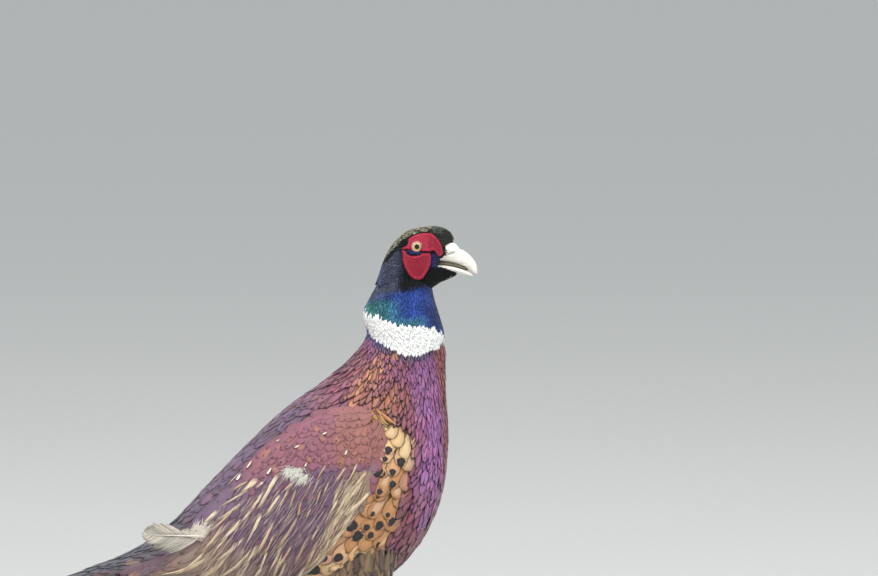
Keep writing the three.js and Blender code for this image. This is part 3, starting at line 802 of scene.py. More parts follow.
def vane_group():
    """The markings of a feather: ground, dark rim, core, spot, shaft and barbs, from its own layers."""
    found = bpy.data.node_groups.get("Feather vane")
    if found:
        return found
    tree, given, result = group_of(
        "Feather vane",
        {"Barbs": 40.0, "Barb depth": 0.25, "Shaft": 0.4, "Tip stretch": 2.2, "Rim from": 0.0},
        {"Color": "NodeSocketColor", "Height": "NodeSocketFloat", "Rim": "NodeSocketFloat"},
    )
    u, v = vane_place(tree)
    off = abs(v)
    layers = [add(tree, "ShaderNodeAttribute", attribute_name=key) for key in ("ground", "rim", "core")]
    ground, rim, core = (node.outputs["Color"] for node in layers)
    spot_size, rim_width, core_width = (Wire(tree, node.outputs["Alpha"]) for node in layers)

    def asked_for(width):
        """0 where a marking's width is 0, and 1 elsewhere."""
        return maths(tree, "MULTIPLY", width, 20.0, clamp=True)

    def squared(number):
        return maths(tree, "POWER", abs(number), 2.0)

    grain = noisy(tree, 900.0, 3.0) - 0.5
    rough = grain * 0.3
    from_tip = (1.0 - u) * given["Tip stretch"]
    edge = maths(tree, "MAXIMUM", off, 1.0 - from_tip) + rough
    rim_start = 1.0 - rim_width
    rim_mask = ramp(tree, edge, rim_start - 0.14, rim_start) * asked_for(rim_width)
    rim_mask = rim_mask * ramp(tree, u, given["Rim from"], given["Rim from"] + 0.2)
    core_mask = ramp(tree, off + rough, core_width, core_width + 0.16, 1.0, 0.0) * ramp(tree, u, 0.2, 0.42)
    core_mask = core_mask * ramp(tree, u, 0.74, 0.92, 1.0, 0.0) * asked_for(core_width)
    spot = maths(tree, "SQRT", squared((u - 0.84) / 0.17) + squared(v / 0.72)) + rough * 1.6
    spot_mask = ramp(tree, spot, spot_size - 0.18, spot_size, 1.0, 0.0) * asked_for(spot_size)
    colour = ground
    for mask, tint in ((core_mask, core), (rim_mask, rim), (spot_mask, rim)):
        colour = mixed(tree, mask, colour, tint)
    phase = (u - off * 0.22) * given["Barbs"]
    barb = maths(tree, "MULTIPLY_ADD", maths(tree, "SINE", (phase + rough) * 6.2832), 0.5, 0.5)
    shade = barb * given["Barb depth"] * maths(tree, "ADD", 1.0, grain * 2.0)
    dark = mixed(tree, 1.0, colour, (0.42, 0.40, 0.42, 1), "MULTIPLY")
    colour = mixed(tree, maths(tree, "MAXIMUM", shade, 0.0), colour, dark)
    shaft = ramp(tree, off, 0.02, 0.09, 1.0, 0.0)
    pale = mixed(tree, 1.0, colour, (0.10, 0.085, 0.06, 1), "ADD")
    join(tree, mixed(tree, shaft * given["Shaft"], colour, pale), result["Color"])
    join(tree, barb * 0.5 + shaft, result["Height"])
    join(tree, rim_mask, result["Rim"])
    return tree


def principled(name, roughness, **more):
    """A new material with a Principled shader, and that shader's inputs."""
    material = bpy.data.materials.new(name)
    material.use_nodes = True
    shader = material.node_tree.nodes["Principled BSDF"]
    shader.inputs["Roughness"].default_value = roughness
    for key, value in more.items():
        shader.inputs[key.replace("_", " ")].default_value = value
    return material, material.node_tree, shader.inputs


def bump(tree, height, distance, strength=0.6):
    node = add(tree, "ShaderNodeBump")
    for key, value in (("Strength", strength), ("Distance", distance), ("Height", height)):
        join(tree, value, node.inputs[key])
    return node.outputs["Normal"]


def vane_material(name, roughness, barbs=40.0, barb_depth=0.25, shaft=0.4, tip_stretch=2.2, rim_from=0.0,
                  **more):
    """A feather material: the shared vane markings with this tract's own values."""
    material, tree, shader = principled(name, roughness, **more)
    node = add(tree, "ShaderNodeGroup", node_tree=vane_group())
    values = (barbs, barb_depth, shaft, tip_stretch, rim_from)
    for key, value in zip(("Barbs", "Barb depth", "Shaft", "Tip stretch", "Rim from"), values):
        node.inputs[key].default_value = value
    join(tree, node.outputs["Color"], shader["Base Color"])
    join(tree, bump(tree, node.outputs["Height"], 0.00025), shader["Normal"])
    return material


# Markings of the plumage, by place

def side_view(points):
    """Where points stand in the view that the markings were read from."""
    away = LEAN * np.abs(points[:, 1])
    return points[:, 0] + away, points[:, 2] - away


def line_distance(x, z, line):
    """Distance to a line of points."""
    start, run = line[:-1], np.diff(line, axis=0)
    wx, wz = x[..., None] - start[:, 0], z[..., None] - start[:, 1]
    t = np.clip((wx * run[:, 0] + wz * run[:, 1]) / (run**2).sum(axis=1), 0, 1)
    return np.hypot(wx - run[:, 0] * t, wz - run[:, 1] * t).min(axis=-1)


def outline_distance(x, z, outline):
    """Distance to a closed outline, negative inside it."""
    start, end = outline, np.roll(outline, -1, axis=0)
    px, pz = x[..., None], z[..., None]
    rise = np.where(end[:, 1] == start[:, 1], 1e-9, end[:, 1] - start[:, 1])
    left = px < (end[:, 0] - start[:, 0]) * (pz - start[:, 1]) / rise + start[:, 0]
    crosses = (start[:, 1] > pz) != (end[:, 1] > pz)
    away = line_distance(x, z, np.vstack([outline, outline[:1]]))
    return np.where((crosses & left).sum(axis=-1) % 2 == 1, -away, away)


def inside(points, outline, soft=2.0, wander=0.0):
    """1 inside an outline, 0 outside it, and between the two near its edge."""
    return 1 - smoothstep(-soft, soft, outline_distance(*side_view(points), outline) + wander)


def above(points, line, soft=0.5, wander=0.0):
    """1 above a line, and 0 below it."""
    x, z = side_view(points)
    return smoothstep(-soft, soft, z - np.interp(x, line[:, 0], line[:, 1]) + wander)


def between(low, high, x, soft):
    return smoothstep(low - soft, low + soft, x) * (1 - smoothstep(high - soft, high + soft, x))


def section_and_degrees(a, b):
    return a * SECTIONS, np.degrees(np.abs((b + np.pi) % (2 * np.pi) - np.pi))


def neck_ground(points, c):
    x, z = side_view(points)
    drift = (mottle(points, 9.0, 4.0) - 0.5) * 6
    green = (1 - smoothstep(54, 80, x + drift)) * (1 - smoothstep(384, 395, z + drift))
    green = np.maximum(green, 0.75 * (1 - smoothstep(370, 379, z + drift)) * (1 - smoothstep(84, 100, x)))
    ground = blend(c["neck_blue"], c["neck_green"], green)
    # Towards the front edge of the neck the blue turns dark navy: painted shade.
    ground = blend(ground, c["neck_blue"] * (0.6, 0.55, 0.45), smoothstep(88, 101, x) * 0.8)
    # The back of the neck takes the grey-blue nape colour: painted sheen.
    ground = blend(ground, c["nape"], (1 - smoothstep(50, 66, x + drift)) * smoothstep(386, 394, z))
    dark = smoothstep(-2, 3, z - np.interp(x, [60, 72, 88, 104], [394, 396, 399.5, 399]) + 0.5 * drift)
    return blend(ground, head_ground(points, c) * (1 - 0.5 * smoothstep(64, 76, x))[:, None], dark)


def head_ground(points, c):
    x, z = side_view(points)
    drift = (mottle(points, 4.0, 1.0) - 0.5) * 3
    ground = np.tile(c["throat"], (len(x), 1))
    # Behind the bare face the dark feathers take the grey-violet ear colour: painted sheen.
    ear = (1 - smoothstep(66, 76, x + drift)) * between(392, 430, z, 4)
    ground = blend(ground, c["ear"], ear)
    # The back of the head takes the same grey-blue: painted sheen.
    ground = blend(ground, c["nape"], (1 - smoothstep(55, 62, x + drift)) * smoothstep(398, 408, z))
    # The dim blue at the gape, between the lobes, is painted sheen on the dark throat.
    gape = between(95.5, 102, x, 1.0) * between(417, 428, z, 1.5)
    ground = blend(ground, c["neck_blue"] * 0.35 + c["nape"] * 0.15, gape)
    line = between(76, 88, x, 1.5) * between(427, 432.5, z, 0.7)
    ground = blend(ground, c["neck_blue"] * 0.4 + c["nape"] * 0.25, line)
    ground = blend(ground, c["throat"] * 0.5, above(points, BLACK_LOW) * (1 - smoothstep(96, 100, x)))
    crown = above(points, CROWN_LOW, 0.4, drift * 0.8) * (1 - smoothstep(97, 99, x)) * smoothstep(54, 58, x)
    ground = blend(ground, c["crown"], crown)
    front = smoothstep(98, 104, x) * smoothstep(430, 436, z)
    ground = blend(ground, c["throat"] * 2 + c["crown"] * 0.1, front)
    # A paler greenish top at the front of the crown: painted highlight on the dark glossy feathers.
    top = between(96, 106, x, 2) * smoothstep(442, 447, z)
    return blend(ground, c["throat"] * 2 + c["crown"] * 0.25 + c["neck_green"] * 0.1, top)


COPPER_LINE = np.array([(66, 341), (52, 332), (44, 322), (37, 309), (50, 306), (66, 308)])


def copper_share(x, z):
    """How many of the feathers are copper, round the side of the breast."""
    return np.exp(-((line_distance(x, z, COPPER_LINE) / 9.0) ** 2))


def trunk_ground(points, q, deg, c):
    """The ground colour below the collar, from the neck to the tail."""
    x, z = side_view(points)
    drift = (mottle(points, 18.0, 2.0) - 0.5) * 16
    saddle = (1 - smoothstep(24, 50, deg + drift)) * (1 - smoothstep(5.5, 7, q))
    ground = blend(c["mantle"], c["wing_purple"], saddle)
    ground = blend(ground, c["rump"], 1 - smoothstep(2.0, 4.0, q + drift / 16))
    ground = blend(ground, c["violet"], smoothstep(78, 92, x + drift) * smoothstep(4.6, 5.6, q))
    ground = blend(ground, c["copper"], 0.5 * copper_share(x, z) * (q > 5))
    ground = blend(ground, c["copper"] * 0.5, smoothstep(150, 172, deg) * smoothstep(5.5, 7, q) * 0.8)
    dark = smoothstep(134, 152, deg) * (1 - smoothstep(5.4, 6.6, q))
    ground = blend(ground, c["belly"], dark)
    ground = blend(ground, c["flank"], inside(points, GOLD, 2.5))
    return blend(ground, c["vent"], smoothstep(88, 120, deg) * (1 - smoothstep(1.2, 2.4, q)))


def vary(colour, rng, amount, hue, n=None):
    """Each feather a little lighter or darker, and a little off in hue. n goes with one colour for all."""
    n = n or len(colour)
    return np.clip(colour * rng.normal(1, amount, (n, 1)) * rng.normal(1, hue, (n, 3)), 0, 1)


def marks(ground, rim=None, rim_width=0, core=None, core_width=0, spot=0):
    """Colours of each feather's ground, rim and core, and the sizes of its spot, rim and core."""
    n = len(ground)
    given = {"ground": (ground, spot), "rim": (rim, rim_width), "core": (core, core_width)}
    return {key: (np.broadcast_to(ground if colour is None else colour, (n, 3)), np.broadcast_to(amount, n))
            for key, (colour, amount) in given.items()}


# Skin

SKIN_VOXEL = 2.2
# How deep the skin lies under the feather tips of head and thigh, and both faces of the wing's flesh.
HEAD_COAT = 1.1
THIGH_COAT = 3.5
WING_FLESH = (-3.2, -9.0)
# The share of its width that the head loses under the bill's horn.
SEAT_OF_HORN = 0.88
# Below this height all the skin is dark.
DARK_BELOW = 150


def grid_faces(nu, nv, wrap=False):
    """Faces of a grid of nu by nv points, joined round in v if it wraps."""
    faces = []
    for i in range(nu - 1):
        for j in range(nv if wrap else nv - 1):
            here, there = i * nv + j, i * nv + (j + 1) % nv
            faces += [(here, here + nv, there + nv), (here, there + nv, there)]
    return np.array(faces)


def capped_faces(rings, around):
    """Faces of a closed round body: its first point, its rings of around points, and its last point."""
    base = 1 + (rings - 1) * around
    ends = [(0, 1 + j, 1 + (j + 1) % around) for j in range(around)]
    ends += [(base + j, base + around, base + (j + 1) % around) for j in range(around)]
    return np.vstack([ends, grid_faces(rings, around, True) + 1])


def outward(points, faces):
    """The faces, turned so that the closed mesh faces outwards."""
    corner = points[faces]
    volume = np.sum(corner[:, 0] * np.cross(corner[:, 1], corner[:, 2]))
    return faces if volume > 0 else faces[:, ::-1]


def slab(outer, inner, cell, nz):
    """A closed plate over the cells in use of a grid with nz points in a row, and which points it keeps."""
    half = len(outer)
    rows, columns = np.nonzero(cell)
    p = rows * nz + columns
    square = np.stack([p, p + nz, p + nz + 1, p + 1], axis=1)
    top = np.vstack([square[:, [0, 1, 2]], square[:, [0, 2, 3]]])
    low = np.vstack([square[:, [0, 2, 1]], square[:, [0, 3, 2]]]) + half
    sides = []
    padded = np.pad(cell, 1)
    shifts = ((-1, 0, 0, 3), (1, 0, 2, 1), (0, -1, 1, 0), (0, 1, 3, 2))
    for di, dj, start, end in shifts:
        open_side = ~padded[rows + 1 + di, columns + 1 + dj]
        one, other = square[open_side, start], square[open_side, end]
        sides.append(np.stack([one, one + half, other + half], axis=1))
        sides.append(np.stack([one, other + half, other], axis=1))
    triangles = np.vstack([top, low, *sides])
    used, compact = np.unique(triangles, return_inverse=True)
    return np.vstack([outer, inner])[used], compact.reshape(-1, 3), used


def closed_loft(surface, around, along, lift, cap):
    """Points and faces of a rounded body on a surface."""
    t = (1 - np.cos(np.linspace(0, np.pi, along + 1))) / 2
    s = 0.5 * t + 0.5 * np.linspace(0, 1, along + 1)
    near = np.minimum(1, np.minimum(s, 1 - s) / cap)
    size = np.sqrt(1 - (1 - near) ** 2)
    b = np.linspace(-np.pi, np.pi, around, endpoint=False)
    grid_s, grid_b = np.meshgrid(s[1:-1], b, indexing="ij")
    wall = surface(grid_s, grid_b, lift(grid_s) if callable(lift) else 0 * grid_s + lift)
    _, centre = spine_of(surface, s)
    wall = centre[1:-1, None, :] + (wall - centre[1:-1, None, :]) * size[1:-1, None, None]
    points = np.vstack([centre[:1], wall.reshape(-1, 3), centre[-1:]])
    return points, outward(points, capped_faces(along - 1, around))


def joined(parts):
    """Points and faces of several meshes as one."""
    starts = np.cumsum([0] + [len(points) for points, _ in parts])
    return (np.vstack([points for points, _ in parts]),
            np.vstack([faces + start for (_, faces), start in zip(parts, starts)]))


def coat_depth(s):
    """The skin's lift along the body, below 0, as it lies under the feather tips."""
    q = s * SECTIONS
    return -np.interp(q, [0, 2, 6, 9, 10, 14], [2.5, 4.0, 4.2, 2.8, 2.0, 1.6])


def wing_bed(sign):
    """Points and faces of the folded wing's flesh, a closed plate."""
    surface = wing_surface(sign)
    nu, nv = 40, 16
    u, v = np.meshgrid(np.linspace(0.04, 0.97, nu), np.linspace(0.05, 0.95, nv), indexing="ij")
    top, low = (surface(u, v, 0 * u + lift).reshape(-1, 3) for lift in WING_FLESH)
    points, faces, _ = slab(top, low, np.ones((nu - 1, nv - 1), bool), nv)
    return points, outward(points, faces)


class PHEASANT_OT_skin(bpy.types.Operator):
    """Make the one skin that lies under the plumage and stands for the solids of flesh"""

    bl_idname = "pheasant.skin"
    bl_label = "Skin"

    def execute(self, context):
        c = colours()
        parts = [
            closed_loft(body_surface, 64, 110, coat_depth, 0.06),
            closed_loft(head_surface, 48, 40, -HEAD_COAT, 0.16),
        ]
        parts += [closed_loft(thigh_surface(side), 28, 30, -THIGH_COAT, 0.12) for side in STANCE]
        parts += [wing_bed(sign) for sign, _ in STANCE.values()]
        points, faces = joined(parts)
        material, tree, shader = principled("skin under the plumage", 0.8)
        # The skin is painted at 0.35 to 0.8 of the plumage's ground: painted shade in the gaps between the
        # feathers.
        shade = mixed(tree, speckled(tree, 420.0, 4.0), (0.35, 0.33, 0.34, 1), (0.8, 0.8, 0.8, 1))
        colour = mixed(tree, 1.0, layer_of(tree, "ground", "Color"), shade, "MULTIPLY")
        join(tree, colour, shader["Base Color"])
        join(tree, bump(tree, noisy(tree, 700.0, 3.0), 0.0006), shader["Normal"])
        flesh = ["head", "neck_upper", "neck_lower", "trunk", "rump"]
        flesh += [f"{part}_{side}" for part in ("thigh", "wing") for side in STANCE]
        skin = piece("skin", points, faces, material, keep=flesh)
        remesh = skin.modifiers.new("one skin", "REMESH")
        remesh.mode = "VOXEL"
        remesh.voxel_size = SKIN_VOXEL * MM
        remesh.use_smooth_shade = True
        even = skin.modifiers.new("even out", "SMOOTH")
        even.factor = 0.5
        even.iterations = 6
        graph = context.evaluated_depsgraph_get()
        mesh = bpy.data.meshes.new_from_object(skin.evaluated_get(graph))
        skin.modifiers.clear()
        skin.data = mesh
        paint_skin(mesh, c)
        return {"FINISHED"}


def paint_skin(mesh, c):
    """Sinks the skin beside the bill, and gives it the plumage's markings."""
    n = len(mesh.vertices)
    points = np.empty(n * 3, np.float32)
    mesh.vertices.foreach_get("co", points)
    points = points.reshape(-1, 3) / MM - SHIFT
    points[:, 1] *= 1 - SEAT_OF_HORN * inside(points, HORN, 0.8)
    mesh.vertices.foreach_set("co", ((points + SHIFT) * MM).astype(np.float32).ravel())
    s = np.linspace(0, 1, 160)
    top, spine = spine_of(body_surface, s)
    place = np.argmin(((points[:, None, [0, 2]] - spine[None, :, [0, 2]]) ** 2).sum(-1), axis=1)
    up = np.sum((points - spine[place]) * unit(top - spine)[place], axis=1)
    deg = np.degrees(np.arctan2(np.abs(points[:, 1]), up))
    ground = trunk_ground(points, s[place] * SECTIONS, deg, c)
    neck = above(points, COLLAR_TOP)
    ground = blend(ground, c["collar"], above(points, COLLAR_LOW))
    ground = blend(ground, neck_ground(points, c), neck)
    ground[points[:, 2] < DARK_BELOW - 0.1 * np.abs(points[:, 0])] = c["belly"]
    layer = mesh.attributes.new("ground", "FLOAT_COLOR", "POINT")
    layer.data.foreach_set("color", np.column_stack([ground, np.ones(n)]).astype(np.float32).ravel())


# Plumage

class PHEASANT_OT_neck(bpy.types.Operator):
    """Lay the short glossy feathers of the neck and the white collar"""

    bl_idname = "pheasant.neck"
    bl_label = "Neck and collar"

    def execute(self, context):
        c = colours()
        length = sizes().neck_feather
        rng = np.random.default_rng(sizes().seed)
        a, b = rows_of(body_surface, body_part(8.8, 13.7), ALL_ROUND, 1.5, 1.7, rng)
        grown = length * np.interp(a * SECTIONS, [9, 10, 13.5], [1.0, 0.95, 0.75])
        plumes = Plumes(body_surface, a, b, grown, grown * 0.17, rng, base=-0.32, camber=0.04, stray=0.1,
                        twist=0.01, uneven=0.14)
        seen = plumes.seen(0.85)
        wander = (mottle(seen, 5.0) - 0.5) * 3.0 + rng.normal(0, 0.4, len(seen))
        white = (above(seen, COLLAR_LOW, 0.1, wander) > 0.5) & (above(seen, COLLAR_TOP, 0.1, wander) < 0.5)
        upper = above(seen, COLLAR_TOP, 0.1, wander) > 0.5
        plumes.base = np.where(white, plumes.base * 0.75, plumes.base)
        neck, points = plumes.where(upper), seen[upper]
        ground = vary(neck_ground(points, c), rng, 0.08, 0.03)
        ground = ground * (0.75 + 0.5 * smoothstep(0.35, 0.7, mottle(points, 12.0, 3.0)))[:, None]
        gloss = vane_material("glossy neck feathers", 0.42, barbs=9, barb_depth=0.2, shaft=0.0, Metallic=0.15,
                              Specular_IOR_Level=0.3, Coat_Weight=0.06, Coat_Roughness=0.4)
        feathers("plumage_neck", neck, marks(ground), gloss, grid=(5, 2), fullest=0.6,
                 blunt=0.8, bake=(0.6, 1, *ALL_ROUND))
        ring = plumes.where(white)
        pale = vary(c["collar"], rng, 0.01, 0.003, len(ring.a))
        chalk = vane_material("white collar feathers", 0.9, barbs=9, barb_depth=0.03, shaft=0.0)
        feathers("plumage_collar", ring, marks(pale), chalk, grid=(5, 4), fullest=0.64,
                 blunt=0.55, ragged=0.08, bake=(0.55, 0.85, *ALL_ROUND))
        return {"FINISHED"}


class PHEASANT_OT_breast(bpy.types.Operator):
    """Lay the narrow dark-edged feathers from under the collar down the breast and upper mantle"""

    bl_idname = "pheasant.breast"
    bl_label = "Breast"

    def execute(self, context):
        c = colours()
        size = sizes().breast_feather / 20
        rng = np.random.default_rng(sizes().seed + 1)
        a, b = rows_of(body_surface, body_part(5.4, 9.9), ALL_ROUND, ((0, 0.5, 1), (8.0, 4.8, 3.0)),
                       ((0, 0.3, 0.6, 1), (10.0, 6.0, 3.6, 2.3)), rng)
        q, deg = section_and_degrees(a, b)
        grown = size * np.interp(q, [5.4, 6.8, 8.2, 9.2, 9.9], [28, 20, 16, 13, 10])
        half = size * np.interp(q, [5.4, 6.8, 8.2, 9.9], [6.6, 4.0, 2.3, 1.45])
        plumes = Plumes(body_surface, a, b, grown, half, rng, base=-1.5, tip=0.0, camber=0.16, stray=0.1,
                        turn=-0.12 * np.sign(b) * between(20, 90, deg, 12), uneven=0.6)
        seen = plumes.seen(0.82)
        wander = (mottle(seen, 5.0) - 0.5) * 3.0
        x, z = side_view(seen)
        gold = inside(seen, GOLD, 1.5)
        free = (above(seen, COLLAR_LOW, 0.1, wander) < 0.5) & ~((gold > 0.5) & (z < 292))
        free &= ~((deg > 100) & (deg < 152) & (q < 6.1)) & ~((deg < 84) & (q < 6.0))
        plumes, seen, q, deg, x, z = plumes.where(free), *(v[free] for v in (seen, q, deg, x, z))
        n = len(seen)
        ground = vary(trunk_ground(seen, q, deg, c), rng, 0.17, 0.07)
        under = z - np.interp(x, COLLAR_LOW[:, 0], COLLAR_LOW[:, 1])
        dusk = blend(c["nape"] * 0.55 + c["violet"] * 0.2, c["neck_blue"] * 0.6 + c["nape"] * 0.2,
                     smoothstep(64, 46, x))
        ground = blend(ground, dusk, smoothstep(-9, -3, under))
        ground = blend(ground, c["violet"], between(-24, -8, under, 4) * 0.5)
        light = smoothstep(0.45, 0.7, plumes.luck[:, 1]) * copper_share(x, z)
        ground = blend(ground, vary(c["copper"] * 1.5, rng, 0.15, 0.1, n), light * 0.85)
        side = smoothstep(40, 60, deg) * (1 - smoothstep(78, 90, x))
        ground = ground * (1 - (0.24, 0.38, 0.3) * side[:, None])
        rim = blend(c["ink"], ground * 0.35, 1 - 0.8 * smoothstep(20, 60, deg))
        edge = np.interp(deg, [0, 40, 80, 130, 180], [0.16, 0.26, 0.3, 0.24, 0.2]) + rng.normal(0, 0.05, n)
        front = smoothstep(74, 90, x) * smoothstep(262, 280, z)
        edge = edge * (1 - 0.5 * front) * (0.55 + 0.45 * smoothstep(20, 46, x))
        rim = blend(rim, ground * 0.42, front * 0.8)
        ground = ground * (1 - 0.16 * (1 - smoothstep(20, 55, x)))[:, None]
        ground = ground * (1 + smoothstep(76, 86, x) * (0.13 - 0.26 * smoothstep(318, 342, z)))[:, None]
        chin_side = smoothstep(97, 105, x + 0.15 * np.clip(z - 335, -40, 10))
        ground = blend(ground, c["copper"] * (0.62, 0.38, 0.36), chin_side * 0.8)
        silk = vane_material("narrow breast feathers", 0.46, barbs=14, barb_depth=0.3, shaft=0.15,
                             tip_stretch=3.2, rim_from=0.55, Coat_Weight=0.08, Coat_Roughness=0.4)
        breast = (0.35, 0.75, *ALL_ROUND)
        feathers("plumage_breast", plumes, marks(ground, rim, edge, ground * 1.25, 0.3), silk,
                 grid=(8, 4), fullest=0.56, blunt=0.95, ragged=0.06, bake=breast)
        n = 13
        for side, (sign, _) in STANCE.items():
            spots = np.column_stack([np.linspace(42, 54, n), np.linspace(296, 304, n) + rng.normal(0, 2, n)])
            a, b = roots_at(body_surface, spots, (0, sign * np.pi))
            plumes = Plumes(body_surface, a, b, rng.uniform(13, 21, n), rng.uniform(1.0, 1.6, n), rng,
                            base=0.9, tip=1.6, camber=0.4, turn=-sign * 1.2, stray=0.12)
            gold = vary(c["flank"] * (0.68, 0.56, 0.42), rng, 0.25, 0.08, n)
            feathers(f"plumage_shoulder_{side}", plumes, marks(gold, c["ink"], 0.3), silk,
                     grid=(8, 4), fullest=0.6, blunt=0.8, bake=breast)
        return {"FINISHED"}


class PHEASANT_OT_back(bpy.types.Operator):
    """Lay the feathers of the back, the rump and the tail coverts"""

    bl_idname = "pheasant.back"
    bl_label = "Back and rump"

    def execute(self, context):
        c = colours()
        rng = np.random.default_rng(sizes().seed + 2)
        size = sizes().back_feather
        a, b = rows_of(body_surface, body_part(3.2, 6.6), (-1.3, 1.3), ((0, 1), (8.5, 6.5)),
                       ((0, 1), (8.5, 7.0)), rng)
        q, deg = section_and_degrees(a, b)
        grown = size * np.interp(q, [3.2, 5, 6.6], [1.1, 0.9, 0.7])
        plumes = Plumes(body_surface, a, b, grown, grown * 0.2, rng, base=-1.1, camber=0.1, stray=0.1,
                        twist=0.01, uneven=0.25)
        ground = vary(trunk_ground(plumes.seen(0.8), q, deg, c), rng, 0.12, 0.05)
        dash = plumes.luck[:, 0] < 0.4
        warm = plumes.luck[:, 1:2] > 0.82
        core = np.where(dash[:, None], c["ink"] * 1.5, ground * 1.15)
        rim = np.where(warm, c["copper"] * 0.9, ground * 0.9)
        soft = vane_material("back feathers", 0.52, barbs=24, barb_depth=0.3, shaft=0.2, tip_stretch=3.0,
                             Sheen_Weight=0.15)
        feathers("plumage_back", plumes, marks(ground, rim, 0.14, core, np.where(dash, 0.14, 0.25)), soft,
                 grid=(8, 4), fullest=0.62, blunt=0.65, ragged=0.08, bake=(0.2, 0.5, -1.4, 1.4))
        size = sizes().rump_feather
        a, b = rows_of(body_surface, (-0.02, 4.0 / SECTIONS), (-1.95, 1.95), ((0, 1), (6.5, 7.0)),
                       ((0, 1), (4.4, 5.6)), rng)
        q, deg = section_and_degrees(a, b)
        grown = size * np.interp(q, [0, 1.2, 4], [0.6, 0.95, 0.8])
        plumes = Plumes(body_surface, a, b, grown, grown * 0.1, rng, base=-3.2, tip=0.1, camber=0.3,
                        stray=0.14, curl=0.12, uneven=0.7)
        seen = plumes.seen(0.75)
        ground = vary(trunk_ground(seen, q, deg, c), rng, 0.16, 0.05)
        green = smoothstep(0.55, 0.8, mottle(seen, 22.0, 9.0))
        ground = blend(ground, c["neck_green"], green * 0.2)
        ground = blend(ground, c["mantle"] * 0.8, smoothstep(60, 88, deg) * 0.6)
        ground = blend(ground, c["quill"], smoothstep(0.88, 0.95, plumes.luck[:, 1]) * 0.8)
        loose = vane_material("loose rump feathers", 0.55, barbs=30, barb_depth=0.4, shaft=0.3,
                              tip_stretch=3.0, Sheen_Weight=0.2)
        feathers("plumage_rump", plumes, marks(ground, ground * 0.7, 0.14, ground * 1.15, 0.2), loose,
                 grid=(8, 4), fullest=0.5, blunt=0.8, ragged=0.2, bake=(-0.02, 0.32, -2, 2))
        return {"FINISHED"}


class PHEASANT_OT_flank(bpy.types.Operator):
    """Lay the golden spotted flank, the dark belly, the vent and the thighs"""

    bl_idname = "pheasant.flank"
    bl_label = "Flank, belly and thighs"

    def execute(self, context):
        c = colours()
        rng = np.random.default_rng(sizes().seed + 3)
        size = sizes().flank_feather
        found = []
        for sign in (-1, 1):
            a, b = rows_of(body_surface, body_part(1.4, 7.5), np.radians((64, 158)), 9.5, 10.0, rng)
            found.append((a, sign * b))
        a, b = (np.concatenate(column) for column in zip(*found))
        q, deg = section_and_degrees(a, b)
        grown = size * np.interp(q, [1.4, 3, 5.5, 7.5], [0.8, 0.95, 0.8, 0.5])
        plumes = Plumes(body_surface, a, b, grown, grown * 0.27, rng, base=-3.0, tip=0.2, camber=0.4,
                        turn=-0.2 * np.sign(b) * smoothstep(4, 6, q), stray=0.12, twist=0.03, uneven=0.6)
        seen = plumes.seen(0.8)
        x, z = side_view(seen)
        gold = inside(seen, GOLD, 2.0)
        edge = np.interp(q, WING[:, 0], WING[:, 2])
        free = (deg > edge - 14) & ((gold > 0.35) | ((q < 6.1) & (deg > 96))) & (z < 296)
        plumes, seen, q, deg, x, z, gold = plumes.where(free), *(v[free] for v in (seen, q, deg, x, z, gold))
        ground = vary(trunk_ground(seen, q, deg, c), rng, 0.12, 0.05)
        ground = blend(ground, c["flank"] * (0.62, 0.42, 0.3), gold * between(190, 256, z, 8) * 0.85)
        crowded = between(50, 72, x, 3) * between(252, 276, z, 3)
        big = (plumes.luck[:, 0] < 0.36 + 0.55 * crowded) & (z < 276)
        spot = np.where(big, 0.5 + 0.55 * plumes.luck[:, 1], 0.0) * smoothstep(0.2, 0.6, gold)
        core = blend(ground * 1.2, c["cream"], (plumes.luck[:, 2] > 0.8) * gold * 0.4)
        silk = vane_material("spotted flank feathers", 0.5, barbs=30, barb_depth=0.22, shaft=0.2,
                             Sheen_Weight=0.15)
        feathers("plumage_flank", plumes, marks(ground, c["ink"], 0.03, core, 0.3, spot), silk,
                 grid=(9, 6), fullest=0.66, blunt=0.5, ragged=0.1, bake=(0.08, 0.55, -2.9, 2.9))
        a, b = rows_of(body_surface, (-0.01, 6.6 / SECTIONS), np.radians((128, 232)), 8.0, 7.0, rng)
        q, deg = section_and_degrees(a, b)
        grown = 28 * np.interp(q, [0, 2, 6.6], [0.9, 1.1, 0.85])
        plumes = Plumes(body_surface, a, b, grown, grown * 0.17, rng, base=-3.6, tip=0.2, camber=0.5,
                        stray=0.2, curl=0.15)
        ground = vary(trunk_ground(plumes.seen(0.75), q, deg, c), rng, 0.2, 0.05)
        down = vane_material("soft belly feathers", 0.7, barbs=24, barb_depth=0.45, shaft=0.1,
                             Sheen_Weight=0.3)
        feathers("plumage_belly", plumes, marks(ground, ground * 0.55, 0.18, ground * 1.3, 0.2), down,
                 grid=(7, 4), fullest=0.58, blunt=0.7, ragged=0.22, bake=(-0.01, 0.5, 2, 4.2))
        for side, (sign, _) in STANCE.items():
            surface = thigh_surface(side)
            a, b = rows_of(surface, (0.03, 0.93), ALL_ROUND, 5.0, 4.6, rng)
            grown = np.interp(a, [0, 0.3, 0.9], [10, 16, 22])
            plumes = Plumes(surface, a, b, grown, grown * 0.17, rng, base=-2.6, tip=0.1, camber=0.4,
                            stray=0.2, curl=0.12)
            patch = smoothstep(0.5, 0.85, mottle(plumes.seen(), 16.0, 2.0))
            tone = blend(c["belly"], c["quill"], patch * 0.6)
            tone = blend(tone, c["flank"] * 0.6, smoothstep(0.5, 0.95, a) * 0.6 * plumes.luck[:, 0])
            tone = vary(tone, rng, 0.2, 0.05)
            feathers(f"plumage_thigh_{side}", plumes, marks(tone, tone * 0.55, 0.2, tone * 1.3, 0.2), down,
                     grid=(6, 4), fullest=0.58, blunt=0.7, ragged=0.2, bake=(0, 1, *ALL_ROUND))
        return {"FINISHED"}


